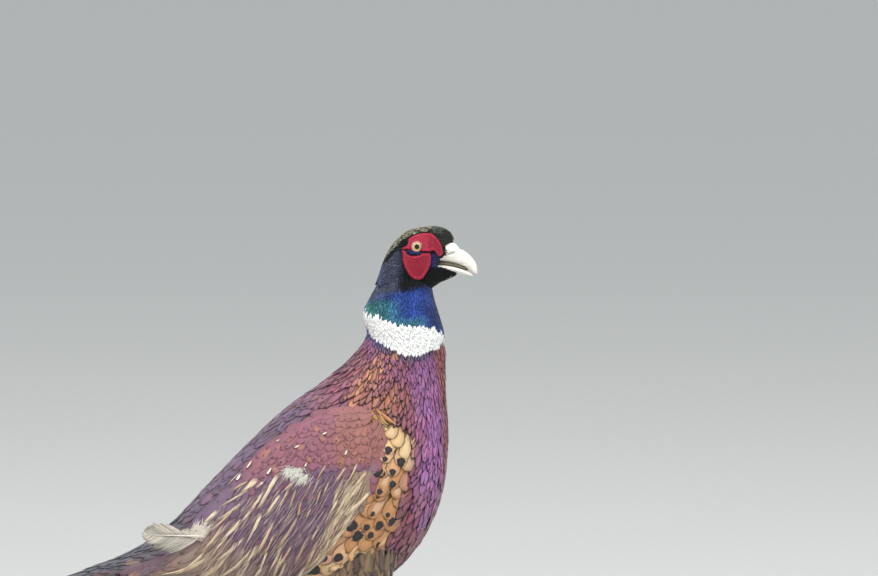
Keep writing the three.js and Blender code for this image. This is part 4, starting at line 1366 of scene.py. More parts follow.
def strawy(x, z):
    """1 where worn feathers have gone the colour of straw, in front and at the tip of the wing, or else 0."""
    front = smoothstep(-6, 5, x - 30 + 0.4 * (248 - z)) * (z < 256)
    return np.maximum(front, 0.7 * (1 - smoothstep(126, 160, z + 0.9 * x)))


class PHEASANT_OT_wings(bpy.types.Operator):
    """Lay the quills, the coverts and the loose cream streaks of both folded wings"""

    bl_idname = "pheasant.wings"
    bl_label = "Wings"

    def execute(self, context):
        c = colours()
        quills = vane_material("wing quills", 0.55, barbs=90, barb_depth=0.35, shaft=0.8, tip_stretch=6.0)
        silk = vane_material("wing coverts", 0.5, barbs=34, barb_depth=0.18, shaft=0.1, tip_stretch=3.0,
                             Sheen_Weight=0.15)
        hair = vane_material("cream streaks", 0.7, barbs=3, barb_depth=0.12, shaft=0.0)
        for number, (side, (sign, _)) in enumerate(STANCE.items()):
            rng = np.random.default_rng(sizes().seed + 20 + number)
            self.quills(side, sign, c, rng, quills)
            self.coverts(side, sign, c, rng, silk)
            self.streaks(side, sign, c, rng, hair)
        return {"FINISHED"}

    def quills(self, side, sign, c, rng, material):
        """Secondaries and primaries, one over the next from the upper edge to the lower."""
        share = np.linspace(0, 1, 17)
        a = np.interp(share, [0, 0.6, 1], [0.50, 0.66, 0.74])
        b = np.interp(share, [0, 1], [0.22, 0.95])
        length = np.interp(share, [0, 0.5, 1], [104, 138, 150])
        half = np.full(len(a), 8.5)
        plumes = Plumes(wing_surface(sign), a, b, length, half, rng, stray=0.015, twist=0.0)
        plumes.base = -2.0 - 1.0 * share
        plumes.tip = -0.6 - 1.3 * share
        ground = vary(blend(c["quill"], c["wing_purple"], (1 - share) * 0.7), rng, 0.08, 0.03)
        shown = marks(ground, c["cream"] * 0.8, 0.16, c["quill"] * 0.6, 0.3)
        feathers(f"wing_quills_{side}", plumes, shown, material,
                 grid=(18, 6), fullest=0.6, blunt=0.35, ragged=0.04, bake=(-0.1, 1, -0.1, 1.1))

    def coverts(self, side, sign, c, rng, material):
        """The coverts, in rows from the wing's tip to the shoulder, some with a dark spot."""
        surface = wing_surface(sign)
        stops = (0, 0.5, 1)
        a, b = rows_of(surface, (0.12, 1.0), (0.0, 1.0), (stops, (8.5, 5.8, 3.6)), (stops, (6.5, 5.6, 4.0)),
                       rng)
        grown = sizes().covert * np.interp(a, [0.12, 0.4, 0.7, 1], [2.2, 1.7, 0.9, 0.56])
        half = grown * np.interp(a, [0.12, 0.4, 0.7, 1], [0.12, 0.15, 0.22, 0.24])
        turn = -sign * np.interp(b, [0, 0.3, 1], [0.0, 0.18, 0.22])
        worn = inside(surface(a, b, 0 * a), STREAKED, 4.0)
        plumes = Plumes(surface, a, b, grown * (1 + 0.3 * worn), half * (1 - 0.35 * worn), rng, base=-0.36,
                        tip=0.03, camber=0.04, turn=turn, stray=0.1, twist=0.004, uneven=0.1)
        seen = plumes.seen(0.75)
        free = ~((b > 0.66) & (a < 0.5) & (plumes.luck[:, 3] < 0.6))
        plumes, seen = plumes.where(free), seen[free]
        x, z = side_view(seen)
        drift = (mottle(seen, 14.0) - 0.5) * 12
        streaked = inside(seen, STREAKED, 4.0, drift)
        ground = blend(c["mantle"], c["wing_purple"], streaked)
        warm = smoothstep(0.5, 0.65, mottle(seen, 16.0, 11.0)) * streaked
        ground = blend(ground, c["mantle"] * 0.85, warm * 0.7)
        blue = smoothstep(0.5, 0.7, mottle(seen, 12.0, 6.0)) * streaked
        ground = blend(ground, c["rump"] * 0.6 + c["violet"] * 0.3, blue * 0.7)
        ground = blend(ground, c["wing_purple"] * 0.8 + c["rump"] * 0.3, 1 - smoothstep(-66, -50, x))
        ground = blend(ground, c["quill"] * (0.5, 0.42, 0.42), 0.5 * (1 - smoothstep(180, 215, z)))
        ground = blend(ground, c["quill"] + c["cream"] * 0.1, strawy(x + drift / 2, z) * streaked * 0.85)
        ground = blend(ground, c["copper"], 0.35 * smoothstep(10, 30, x) * smoothstep(258, 266, z))
        ground = blend(ground, c["copper"], smoothstep(0.86, 0.96, plumes.luck[:, 1]) * (1 - streaked) * 0.5)
        ground = vary(ground, rng, 0.045, 0.02)
        dotted = (plumes.luck[:, 0] < 0.4) & (streaked < 0.4)
        spot = np.where(dotted, 0.26 + 0.12 * plumes.luck[:, 1], 0.0)
        rim = np.where(dotted[:, None], c["ink"][None, :], ground)
        feathers(f"wing_coverts_{side}", plumes, marks(ground, rim, 0, ground * 1.1, 0.24, spot), material,
                 grid=(8, 6), fullest=0.68, blunt=0.42, ragged=0.05, bake=WING_BAKE)

    def streaks(self, side, sign, c, rng, material):
        """Worn cream barbs that lie over the larger coverts, and pale flecks above them."""
        surface = wing_surface(sign)
        self.locks(side, surface, c, rng, material)
        self.wisps(side, surface, c, rng, material)
        self.fans(side, surface, c, rng, material)
        a, b = roots_at(surface, FLECKS[:, 0:2], (0, 1))
        size = FLECKS[:, 2]
        fleck = Plumes(surface, a, b, 5 * size, 1.2 * size, rng, base=0.3, tip=1.0, camber=0.3,
                       turn=-sign * 0.1, stray=0.2)
        tone = np.tile(c["cream"] * (1.15, 1.2, 1.3), (len(a), 1))
        feathers(f"wing_flecks_{side}", fleck, marks(tone, c["ink"], 0.3), material, grid=(6, 4),
                 fullest=0.5, blunt=0.9, ragged=0.0, bake=WING_BAKE)

    def locks(self, side, surface, c, rng, material):
        """Loose locks, whose outer barbs start later and end sooner than the middle ones."""
        which = np.repeat(np.arange(len(LOCKS)), np.rint(8 + 11 * LOCKS[:, 4]).astype(int))
        start, end, wide, gold = LOCKS[which, 0:2], LOCKS[which, 2:4], LOCKS[which, 4], LOCKS[which, 5]
        n = len(which)
        run = end - start
        aside = unit(np.column_stack([-run[:, 1], run[:, 0]]))
        off = rng.uniform(-1, 1, n)
        late = np.abs(off)[:, None]
        root = start + aside * (off * wide)[:, None] + run * (0.3 * late * rng.uniform(0, 1, (n, 1)) - 0.1)
        stray = aside * rng.normal(0, 0.2, (n, 1))
        tip = end + stray + run * (0.15 - 0.5 * late * rng.uniform(0.3, 1, (n, 1)))
        tint = np.clip(0.65 * gold + 0.25 * np.abs(off) + rng.normal(-0.1, 0.12, n), 0, 1)
        tone = blend(c["cream"] * (1.25, 1.28, 1.3), c["flank"] * (0.75, 0.65, 0.45), tint)
        tone = vary(tone, rng, 0.08, 0.03)
        half = rng.uniform(0.18, 0.34, n) + 0.22 * (1 - np.abs(off)) ** 2
        strands(f"wing_streaks_{side}", surface, root, tip, half, tone, rng, material)

    def wisps(self, side, surface, c, rng, material):
        """Short dull barbs between the locks, most of them on the straw-coloured parts."""
        root = np.column_stack([rng.uniform(-80, 50, WISPS), rng.uniform(165, 258, WISPS)])
        root = root[outline_distance(root[:, 0], root[:, 1], STREAKED) < -1]
        root = root[rng.uniform(0, 1, len(root)) < 0.4 + 0.6 * strawy(*root.T)]
        n = len(root)
        dry = strawy(*root.T)[:, None]
        tip = root + rng.uniform(0.6, 1.3, (n, 1)) * (-8.3, -13) + rng.normal(0, 1.2, (n, 2))
        dull = c["wing_purple"] * 1.3 * (1 - dry) + c["quill"] * 1.3 * dry
        tone = dull + (c["cream"] * 1.2 - dull) * rng.uniform(0, 0.55 + 0.45 * dry, (n, 1))
        tone = vary(tone, rng, 0.12, 0.04)
        strands(f"wing_wisps_{side}", surface, root, tip, rng.uniform(0.25, 0.45, n), tone, rng, material)

    def fans(self, side, surface, c, rng, material):
        """A few white tufts of bare down at the wing's upper edge."""
        root = FANS[np.arange(FAN_BARBS) % len(FANS)] + rng.normal(0, 1, (FAN_BARBS, 2)) * (2.3, 1.1)
        way = rng.normal(-2.2, 0.34, FAN_BARBS)
        length = rng.uniform(4, 13, (FAN_BARBS, 1))
        tip = root + length * np.column_stack([np.cos(way), np.sin(way)])
        tone = vary(c["cream"] * (1.5, 1.65, 1.9), rng, 0.1, 0.02, FAN_BARBS)
        half = rng.uniform(0.14, 0.24, FAN_BARBS)
        strands(f"wing_fans_{side}", surface, root, tip, half, tone, rng, material)


class PHEASANT_OT_tail(bpy.types.Operator):
    """Lay the eighteen long barred tail feathers"""

    bl_idname = "pheasant.tail"
    bl_label = "Tail"

    def execute(self, context):
        c = colours()
        rng = np.random.default_rng(sizes().seed + 4)
        lengths, places, halves = TAIL.T
        n = len(TAIL)
        material = self.barred_material()
        for side, (sign, _) in STANCE.items():
            plumes = Plumes(tail_surface, np.zeros(n), sign * places, lengths, halves, rng, camber=1.2,
                            stray=0.0, twist=0.0)
            plumes.length = lengths
            plumes.half = halves
            plumes.turn = sign * np.linspace(0.0195, -0.008, n)
            plumes.base = -np.arange(n) * 1.0 - 1.0 - 0.3 * sign
            plumes.tip = -np.arange(n) * 0.55 + 0.2 - 0.5 * sign
            ground = vary(c["tail"], rng, 0.05, 0.02, n)
            shown = marks(ground, c["mantle"] * (0.5, 0.45, 0.4), 0.26, ground * 1.12, 0.2)
            feathers(f"tail_quills_{side}", plumes, shown, material,
                     grid=(40, 6), fullest=0.3, blunt=0.42, ragged=0.03, bake=TAIL_BAKE,
                     keep=(f"tail_central_{side}", f"tail_side_{side}"), absolute=TAIL_LENGTH)
        return {"FINISHED"}

    def barred_material(self):
        """Feathers with black bars across them, which fade out towards the fringes."""
        group, given, result = group_of("Tail bars", {"Every": 17.0}, {"Bar": "NodeSocketFloat"})
        u, v = vane_place(group)
        off = abs(v)
        wobble = (noisy(group, 160.0, 3.0) - 0.5) * 0.7
        phase = (u + off * 0.008) * given["Every"]
        near = abs(maths(group, "FRACT", phase + wobble * 0.35) - 0.5)
        inner = ramp(group, off + wobble, 0.62, 0.86, 1.0, 0.0)
        join(group, ramp(group, near, 0.09, 0.16, 1.0, 0.0) * inner, result["Bar"])
        material = vane_material("barred tail feathers", 0.5, barbs=230, barb_depth=0.3, shaft=0.7,
                                 tip_stretch=9.0)
        tree = material.node_tree
        bars = add(tree, "ShaderNodeGroup", node_tree=group).outputs["Bar"]
        base = tree.nodes["Principled BSDF"].inputs["Base Color"]
        join(tree, mixed(tree, bars, base.links[0].from_socket, (0.018, 0.013, 0.012, 1)), base)
        return material


class PHEASANT_OT_head(bpy.types.Operator):
    """Lay the smallest feathers over the head, round the bare face"""

    bl_idname = "pheasant.head"
    bl_label = "Head"

    def execute(self, context):
        c = colours()
        size = sizes().head_feather
        rng = np.random.default_rng(sizes().seed + 5)
        a, b = rows_of(head_surface, (0.02, 0.985), ALL_ROUND, 1.4, 1.5, rng)
        root = head_surface(a, b, 0 * a)
        grown = size * np.interp(root[:, 0], [60, 90, 112], [1.1, 0.75, 0.5])
        plumes = Plumes(head_surface, a, b, grown, grown * 0.21, rng, base=-0.7, tip=0.05, camber=0.08,
                        stray=0.14, twist=0.02, uneven=0.3)
        plumes.tip = plumes.tip - 0.7 * (1 - smoothstep(57, 66, root[:, 0]))
        seen = plumes.seen(0.9)
        side = np.abs(seen[:, 1]) > 5
        bare = np.maximum(inside(seen, BROW_LOBE, 0.2), inside(seen, CHEEK_LOBE, 0.2)) > 0.5
        bare |= np.hypot(seen[:, 0] - EYE[0] - 1, seen[:, 2] - EYE[2]) < 5.0
        horn = np.maximum(inside(seen, HORN, 0.4), inside(root, HORN, 0.4)) > 0.5
        free = ~(bare & side) & ~horn
        plumes, seen = plumes.where(free), seen[free]
        ground = vary(head_ground(seen, c), rng, 0.16, 0.05)
        pale = above(seen, CROWN_LOW) * (seen[:, 0] < 98)
        ground = np.where(((plumes.luck[:, 0] < 0.2) & (pale > 0.5))[:, None], c["throat"] * 3, ground)
        glossy = vane_material("small head feathers", 0.55, barbs=6, barb_depth=0.25, shaft=0.0,
                               Specular_IOR_Level=0.25)
        feathers("plumage_head", plumes, marks(ground, ground * 0.55, 0.1), glossy, grid=(4, 2),
                 fullest=0.6, blunt=0.7, ragged=0.1)
        return {"FINISHED"}


# Bare parts

# The wattle: its grid's step and its span in x and z, the radius left open for the eye, how far the
# skin stands out, starts and ends under the head's surface, and the size of its papillae.
WATTLE_STEP = 0.42
WATTLE_SPAN = ((69, 109), (404, 449))
OPEN_ROUND_EYE = 3.9
WATTLE_RISE = 1.3
WATTLE_SINK = 0.2
WATTLE_BACK = 1.6
PAPILLA = 1.15
# How far the eye looks forwards and upwards, and how far its cornea stands out, as shares.
GAZE = (0.16, 0.04)
CORNEA = 0.035
LID_OPENING = 3.35
LID_THICKNESS = 0.5
# Middle of the nostril's shield in x and z, and its half length and half height.
NOSTRIL = (113.6, 433.0)
NOSTRIL_SIZE = (5.0, 4.3)
# The share of a bill's length over which its ends are rounded.
BILL_END = 0.12
TONGUE = np.array([
    (98, 421.6, 98, 418, 5),
    (108, 421.6, 108, 418, 4.8),
    (118, 420, 118, 416, 3.4),
    (126.5, 416, 126.5, 413.6, 1.0),
])


def head_side(x, z):
    """Half the head's width at places in side view."""
    s = np.linspace(0, 1, 240)
    top, centre = spine_of(head_surface, s)
    depth = np.linalg.norm(top - centre, axis=1)
    rise = (top - centre) / depth[:, None]
    dx, dz = x[..., None] - centre[:, 0], z[..., None] - centre[:, 2]
    k = np.argmin(np.abs(dx * rise[:, 2] + dz * -rise[:, 0]), axis=-1)
    up = (x - centre[k, 0]) * rise[k, 0] + (z - centre[k, 2]) * rise[k, 2]
    width = head_surface(s, 0 * s + np.pi / 2, 0 * s)[:, 1][k]
    return width * np.sqrt(np.clip(1 - (up / depth[k]) ** 2, 0, 1))


class PHEASANT_OT_face(bpy.types.Operator):
    """Make the bare red face with its papillae, the eyes and their lids"""

    bl_idname = "pheasant.face"
    bl_label = "Face and eyes"

    def execute(self, context):
        c = colours()
        red = self.wattle_material(c)
        wet = self.eye_material(c)
        lid = self.lid_material()
        for side, (sign, _) in STANCE.items():
            self.wattle(side, sign, red)
            self.eye(side, sign, wet, lid)
        return {"FINISHED"}

    def wattle_material(self, c):
        material, tree, shader = principled("bare red face", 0.6, Subsurface_Weight=0.05,
                                            Specular_IOR_Level=0.35)
        shader["Subsurface Radius"].default_value = (0.002, 0.0006, 0.0004)
        cells = add(tree, "ShaderNodeTexVoronoi")
        join(tree, 1150.0, cells.inputs["Scale"])
        join(tree, add(tree, "ShaderNodeTexCoord").outputs["Object"], cells.inputs["Vector"])
        bead = ramp(tree, cells.outputs["Distance"], 0.1, 0.62, 1.0, 0.0)
        red = c["wattle"]
        # The layer picks how bright the red skin is painted, from dull red to bright pink; the bright end
        # carries the painted highlight along the lobes' rims.
        dull, bright = rgba(red * (0.33, 0.66, 0.46)), rgba(red * (2.1, 5.0, 3.2))
        skin = mixed(tree, layer_of(tree, "tone_and_highlight"), dull, bright)
        colour = mixed(tree, bead, rgba(red * 0.5), skin)
        colour = mixed(tree, speckled(tree, 160.0, 3.0) * 0.2, colour, rgba(red * 0.6))
        join(tree, colour, shader["Base Color"])
        join(tree, bump(tree, bead, 0.0005, 0.8), shader["Normal"])
        return material

    def wattle(self, side, sign, material):
        """A low cushion of skin over both lobes, with rounded borders and fine papillae."""
        x, z = np.meshgrid(*(np.arange(*span, WATTLE_STEP) for span in WATTLE_SPAN), indexing="ij")
        wall = head_side(x, z)
        seen = x + LEAN * wall, z - LEAN * wall
        brow, cheek = outline_distance(*seen, BROW_LOBE), outline_distance(*seen, CHEEK_LOBE)
        from_eye = np.hypot(x - EYE[0] - 1, z - EYE[2])
        lobes = -np.minimum(brow, cheek)
        depth = np.minimum(lobes, from_eye - OPEN_ROUND_EYE)
        bead = np.array([noise.voronoi(Vector((p, q, 0.3 * sign)) / PAPILLA)[0][0] for p, q in
                         zip(x.ravel(), z.ravel())]).reshape(x.shape)
        rim = np.exp(-(((lobes - 1.3) / np.where(brow < 0, 0.95, 1.4)) ** 2))
        height = WATTLE_RISE * np.sqrt(np.clip(lobes / 1.4, 0, 1)) + 0.7 * rim
        height += 0.3 * (0.6 - bead) * smoothstep(0.2, 1.4, lobes)
        from_ball = np.hypot(x - EYE[0], z - EYE[2])
        ball = EYE[1] + 0.45 + np.sqrt(np.clip(EYE_RADIUS**2 - from_ball**2, 0, None))
        height = height + np.maximum(ball - (wall - WATTLE_SINK + height), 0) * (from_ball < EYE_RADIUS)
        # How bright the skin is painted: the brow lobe lighter than the cheek lobe and the brow's front, and
        # the raised rims lighter still, partly the skin's own pinker edge and partly painted highlight, most
        # along the cheek's lower rim and the brow's front.
        front = smoothstep(93, 96, seen[0]) * (brow < 0)
        tone_and_highlight = np.where(brow < 0, 0.68, 0.05) * (1 - front)
        edge = rim * np.where(brow < 0, 0.3 + 0.6 * front, np.maximum(0.7, smoothstep(-4, 4, 416 - seen[1])))
        tone_and_highlight = np.clip(tone_and_highlight + edge, 0, 1)
        used = depth > 0
        cell = used[:-1, :-1] & used[1:, :-1] & used[1:, 1:] & used[:-1, 1:]
        outer = np.stack([x, sign * (wall - WATTLE_SINK + height), z], axis=-1).reshape(-1, 3)
        inner = np.stack([x, sign * (wall - WATTLE_BACK), z], axis=-1).reshape(-1, 3)
        points, faces, used = slab(outer, inner, cell, x.shape[1])
        home = np.column_stack([(points[:, 0] - 68) / 44, (points[:, 2] - 402) / 48])
        tone_and_highlight = np.tile(tone_and_highlight.ravel(), 2)[used]
        piece(f"wattle_skin_{side}", points, outward(points, faces), material,
              layers={"tone_and_highlight": tone_and_highlight}, maps={"OFBake": home}, keep=(f"wattle_{side}",))

    def eye_material(self, c):
        material, tree, shader = principled("wet eye", 0.1, Coat_Weight=0.25, Coat_Roughness=0.02,
                                            Specular_IOR_Level=0.3)
        angle = layer_of(tree, "from_axis")
        rays = speckled(tree, 900.0, 4.0, 0.35, 0.65)
        iris = mixed(tree, rays, rgba(c["iris"] * 0.6), rgba(c["iris"] * 1.2))
        rim = mixed(tree, ramp(tree, angle, 0.53, 0.66), iris, (0.05, 0.03, 0.02, 1))
        pupil = mixed(tree, ramp(tree, angle, 0.345, 0.375), (0.002, 0.002, 0.003, 1), rim)
        join(tree, pupil, shader["Base Color"])
        return material

    def lid_material(self):
        material, tree, shader = principled("eyelid", 0.55)
        fine = noisy(tree, 1600.0, 3.0)
        pink = mixed(tree, ramp(tree, fine, 0.35, 0.65), (0.35, 0.17, 0.12, 1), (0.75, 0.52, 0.40, 1))
        join(tree, pink, shader["Base Color"])
        join(tree, bump(tree, fine, 0.0003), shader["Normal"])
        return material

    def eye(self, side, sign, wet, lid):
        """An eyeball with a raised cornea, and the lid round it."""
        axis = unit(np.array([GAZE[0], sign, GAZE[1]]))
        across = unit(np.cross(axis, (0, 0, sign)))
        up = np.cross(across, axis)
        centre = EYE * (1, sign, 1)
        angles = np.concatenate([np.linspace(0, 0.75, 22), np.linspace(0.85, np.pi, 16)])
        turns = np.linspace(0, 2 * np.pi, 48, endpoint=False)
        ring, turn = np.meshgrid(angles[1:-1], turns, indexing="ij")
        bulge = EYE_RADIUS * (1 + CORNEA * np.exp(-((ring / 0.45) ** 2)))
        aside = round_about(across, up, turn) * np.sin(ring)[..., None]
        wall = (centre + (axis * np.cos(ring)[..., None] + aside) * bulge[..., None]).reshape(-1, 3)
        front = centre + axis * EYE_RADIUS * (1 + CORNEA)
        rear = centre - axis * EYE_RADIUS
        points = np.vstack([front, wall, rear])
        faces = capped_faces(len(angles) - 2, len(turns))
        from_axis = np.concatenate([[0], ring.ravel(), [np.pi]])
        spread = 0.5 + 0.45 * ring * np.stack([np.cos(turn), np.sin(turn)]) / np.pi
        home = np.vstack([(0.5, 0.5), spread.reshape(2, -1).T, (0.96, 0.5)])
        piece(f"eyeball_{side}", points, outward(points, faces), wet,
              layers={"from_axis": from_axis}, maps={"OFBake": home}, keep=(f"eye_{side}",))
        self.lids(side, centre, axis, across, up, turns, lid)

    def lids(self, side, centre, axis, across, up, turns, material):
        """A beaded ring of bare lid, rolled over the eyeball round its opening."""
        profile = np.linspace(0, 2 * np.pi, 14, endpoint=False)
        turn, roll = np.meshgrid(turns, profile, indexing="ij")
        opening = LID_OPENING - 0.2 * np.abs(np.sin(turn)) ** 3 + 0.9 * np.clip(np.cos(turn), 0, 1) ** 6
        thick = LID_THICKNESS * (1 + 0.1 * np.sin(turn * 15) + 0.08 * np.sin(turn * 23 + 1))
        radius = opening + LID_THICKNESS + thick * np.cos(roll) * 1.3
        seat = np.sqrt(np.clip(EYE_RADIUS**2 - radius**2, 4, None))
        height = seat + 0.18 + thick * np.sin(roll) * 0.8
        points = (centre + round_about(across, up, turn) * radius[..., None]
                  + axis * height[..., None]).reshape(-1, 3)
        last = (len(turns) - 1) * len(profile)
        joint = []
        for j in range(len(profile)):
            k = (j + 1) % len(profile)
            joint += [(last + j, j, k), (last + j, k, last + k)]
        faces = np.vstack([grid_faces(len(turns), len(profile), True), joint])
        piece(f"eyelid_{side}", points, outward(points, faces), material)


class PHEASANT_OT_bill(bpy.types.Operator):
    """Make the ivory bill, a little open, with its nostril shields"""

    bl_idname = "pheasant.bill"
    bl_label = "Bill"

    def execute(self, context):
        ivory = self.ivory_material(colours())
        self.upper(ivory)
        self.lower(ivory)
        mouth, tree, shader = principled("inside of the mouth", 0.5)
        # The mouth's tint, from near-black to dull olive, is painted shade inside the open bill.
        tint = mixed(tree, noisy(tree, 500.0), (0.05, 0.04, 0.03, 1), (0.22, 0.19, 0.12, 1))
        join(tree, tint, shader["Base Color"])
        points, faces = closed_loft(loft(TONGUE), 20, 20, 0.0, BILL_END)
        piece("mouth_tongue", points, faces, mouth)
        return {"FINISHED"}

    def ivory_material(self, c):
        material, tree, shader = principled("ivory horn", 0.36, Subsurface_Weight=0.05, Coat_Weight=0.15)
        shader["Subsurface Radius"].default_value = (0.0015, 0.001, 0.0006)
        stretch = add(tree, "ShaderNodeMapping")
        stretch.inputs["Scale"].default_value = (0.25, 1.0, 1.0)
        stretch.inputs["Rotation"].default_value = (0, 0.55, 0)
        join(tree, add(tree, "ShaderNodeTexCoord").outputs["Object"], stretch.inputs["Vector"])
        streak = noisy(tree, 420.0, 4.0, stretch.outputs[0])
        dull = rgba(c["bill"] * (0.84, 0.82, 0.74))
        colour = mixed(tree, ramp(tree, streak, 0.3, 0.75), dull, rgba(c["bill"]))
        colour = mixed(tree, layer_of(tree, "shadow"), colour, (0.13, 0.12, 0.105, 1))
        join(tree, colour, shader["Base Color"])
        join(tree, bump(tree, streak, 0.0003, 0.5), shader["Normal"])
        return material

    def upper(self, material):
        """The upper half, with a shield and a slit at each nostril and a dip on its ridge."""
        points, faces = closed_loft(loft(UPPER_BILL), 56, 70, 0.0, BILL_END)
        x, y, z = points.T
        away = np.sqrt(((x - NOSTRIL[0]) / NOSTRIL_SIZE[0]) ** 2 + ((z - NOSTRIL[1]) / NOSTRIL_SIZE[1]) ** 2)
        side = np.sign(y) * (np.abs(y) > 1.5)
        shield = smoothstep(0, 0.45, 1 - away)
        slit = np.exp(-(((z - 428.6 - 0.3 * (x - 112)) / 0.6) ** 2))
        slit *= smoothstep(107.5, 109.5, x) * (1 - smoothstep(114, 116, x))
        y += side * (1.3 * shield - 0.5 * slit)
        z += shield * smoothstep(434, 436, z)
        z -= 1.2 * np.exp(-(((x - 120) / 1.4) ** 2)) * smoothstep(428, 431, z)
        shadow = np.clip(slit * 0.9 * (np.abs(y) > 3), 0, 1)
        home = np.column_stack([(x - 95) / 42, (z - 408) / 32 + 0.002 * y])
        piece("bill_horn_upper", points, faces, material, layers={"shadow": shadow},
              maps={"OFBake": home}, keep=("bill_upper",))

    def lower(self, material):
        """The lower half, hollow along the middle of its upper side."""
        points, faces = closed_loft(loft(LOWER_BILL), 44, 50, 0.0, BILL_END)
        x, y, z = points.T
        half = np.interp(x, LOWER_BILL[:, 0], LOWER_BILL[:, 4])
        top = np.interp(x, LOWER_BILL[:, 0], LOWER_BILL[:, 1])
        hollow = (1 - smoothstep(0.45, 0.8, np.abs(y) / half)) * smoothstep(-2.0, -0.4, z - top)
        z -= hollow
        home = np.column_stack([(x - 95) / 42, (z - 406) / 16])
        piece("bill_horn_lower", points, faces, material, layers={"shadow": 0.55 * hollow},
              maps={"OFBake": home}, keep=("bill_lower",))


def tube(points, side, radius, around, along, floor=None, relief=None):
    """A closed round limb. radius(s) gives its half width and half height, and relief(s, angle) adds to
    both. Nothing of it lies below floor."""
    path = curve_through(points)
    length = np.linalg.norm(np.diff(np.asarray(points, float), axis=0), axis=1).sum()
    s = (1 - np.cos(np.linspace(0, np.pi, along + 1))) / 2 * 0.35 + np.linspace(0, 1, along + 1) * 0.65
    angle = np.linspace(0, 2 * np.pi, around, endpoint=False)
    grid_s, grid_b = np.meshgrid(s, angle, indexing="ij")
    middle, across, up = frame_along(path, s, side)
    wide, high = radius(grid_s)
    extra = relief(grid_s, grid_b) if relief else 0.0
    near = np.minimum(1, np.minimum(grid_s, 1 - grid_s) * length / np.maximum(high, 0.01))
    size = np.sqrt(1 - (1 - near) ** 2)
    wall = (middle[:, None, :] + across[:, None, :] * (size * (wide + extra) * np.cos(grid_b))[..., None]
            + up[:, None, :] * (size * (high + extra) * np.sin(grid_b))[..., None])
    made = np.vstack([wall[0, :1], wall[1:-1].reshape(-1, 3), wall[-1, :1]])
    faces = capped_faces(along - 1, around)
    if floor is not None:
        made[:, 2] = np.maximum(made[:, 2], floor)
    home = np.column_stack([
        np.concatenate([[0.5], (grid_b[1:-1] / (2 * np.pi)).ravel(), [0.5]]),
        np.concatenate([[0], grid_s[1:-1].ravel(), [1]]),
    ])
    return made, outward(made, faces), home


def gather(parts):
    """Several meshes as one, each with its own strip of the map."""
    homes = [np.column_stack([0.01 + (number + 0.05 + 0.9 * home[:, 0]) / len(parts) * 0.98,
                              0.01 + home[:, 1] * 0.98]) for number, (_, _, home) in enumerate(parts)]
    return *joined([part[:2] for part in parts]), np.vstack(homes)


# Each toe's name, its angle from straight ahead in degrees, its length and its number of pads.
TOES = (("inner", -34, 40, 2), ("middle", 2, 54, 3), ("outer", 38, 42, 3), ("hind", 168, 17, 1))
# How far the ankle stands behind the foot's middle, and the height of that middle.
ANKLE_BACK = 21
FOOT_HEIGHT = 8.0
# The spur's line: how far behind the foot's middle, how far inwards, and how high over it.
SPUR = ((7, 1.5, 21), (14, 4, 22), (20, 5.5, 26))
# Rows of scales on the shank, the length of one on a toe, and how far they stand out on each.
SHANK_SCUTES = 19
TOE_SCUTE = 3.2
SCUTE_RISE = (0.42, 0.4)


def scutes(count, height):
    """Relief of overlapping shields in front and small round scales behind."""

    def relief(s, angle):
        front = smoothstep(-0.2, 0.5, np.sin(angle))
        shield = (s * count) % 1.0
        plates = height * (shield - 0.5)
        grains = height * 0.5 * np.sin(s * count * 12.6) * np.sin(angle * 7)
        return plates * front + grains * (1 - front)

    return relief


def shank_radius(s):
    knob = (2 * s - 1) ** 4
    return 3.5 + 1.5 * knob, 4.2 + 2.0 * knob


def claw_radius(s):
    return 0.35 + 1.65 * (1 - s) ** 0.8, 0.35 + 2.1 * (1 - s) ** 0.8


def spur_radius(s):
    return 0.3 + 2.9 * (1 - s), 0.3 + 3.1 * (1 - s)


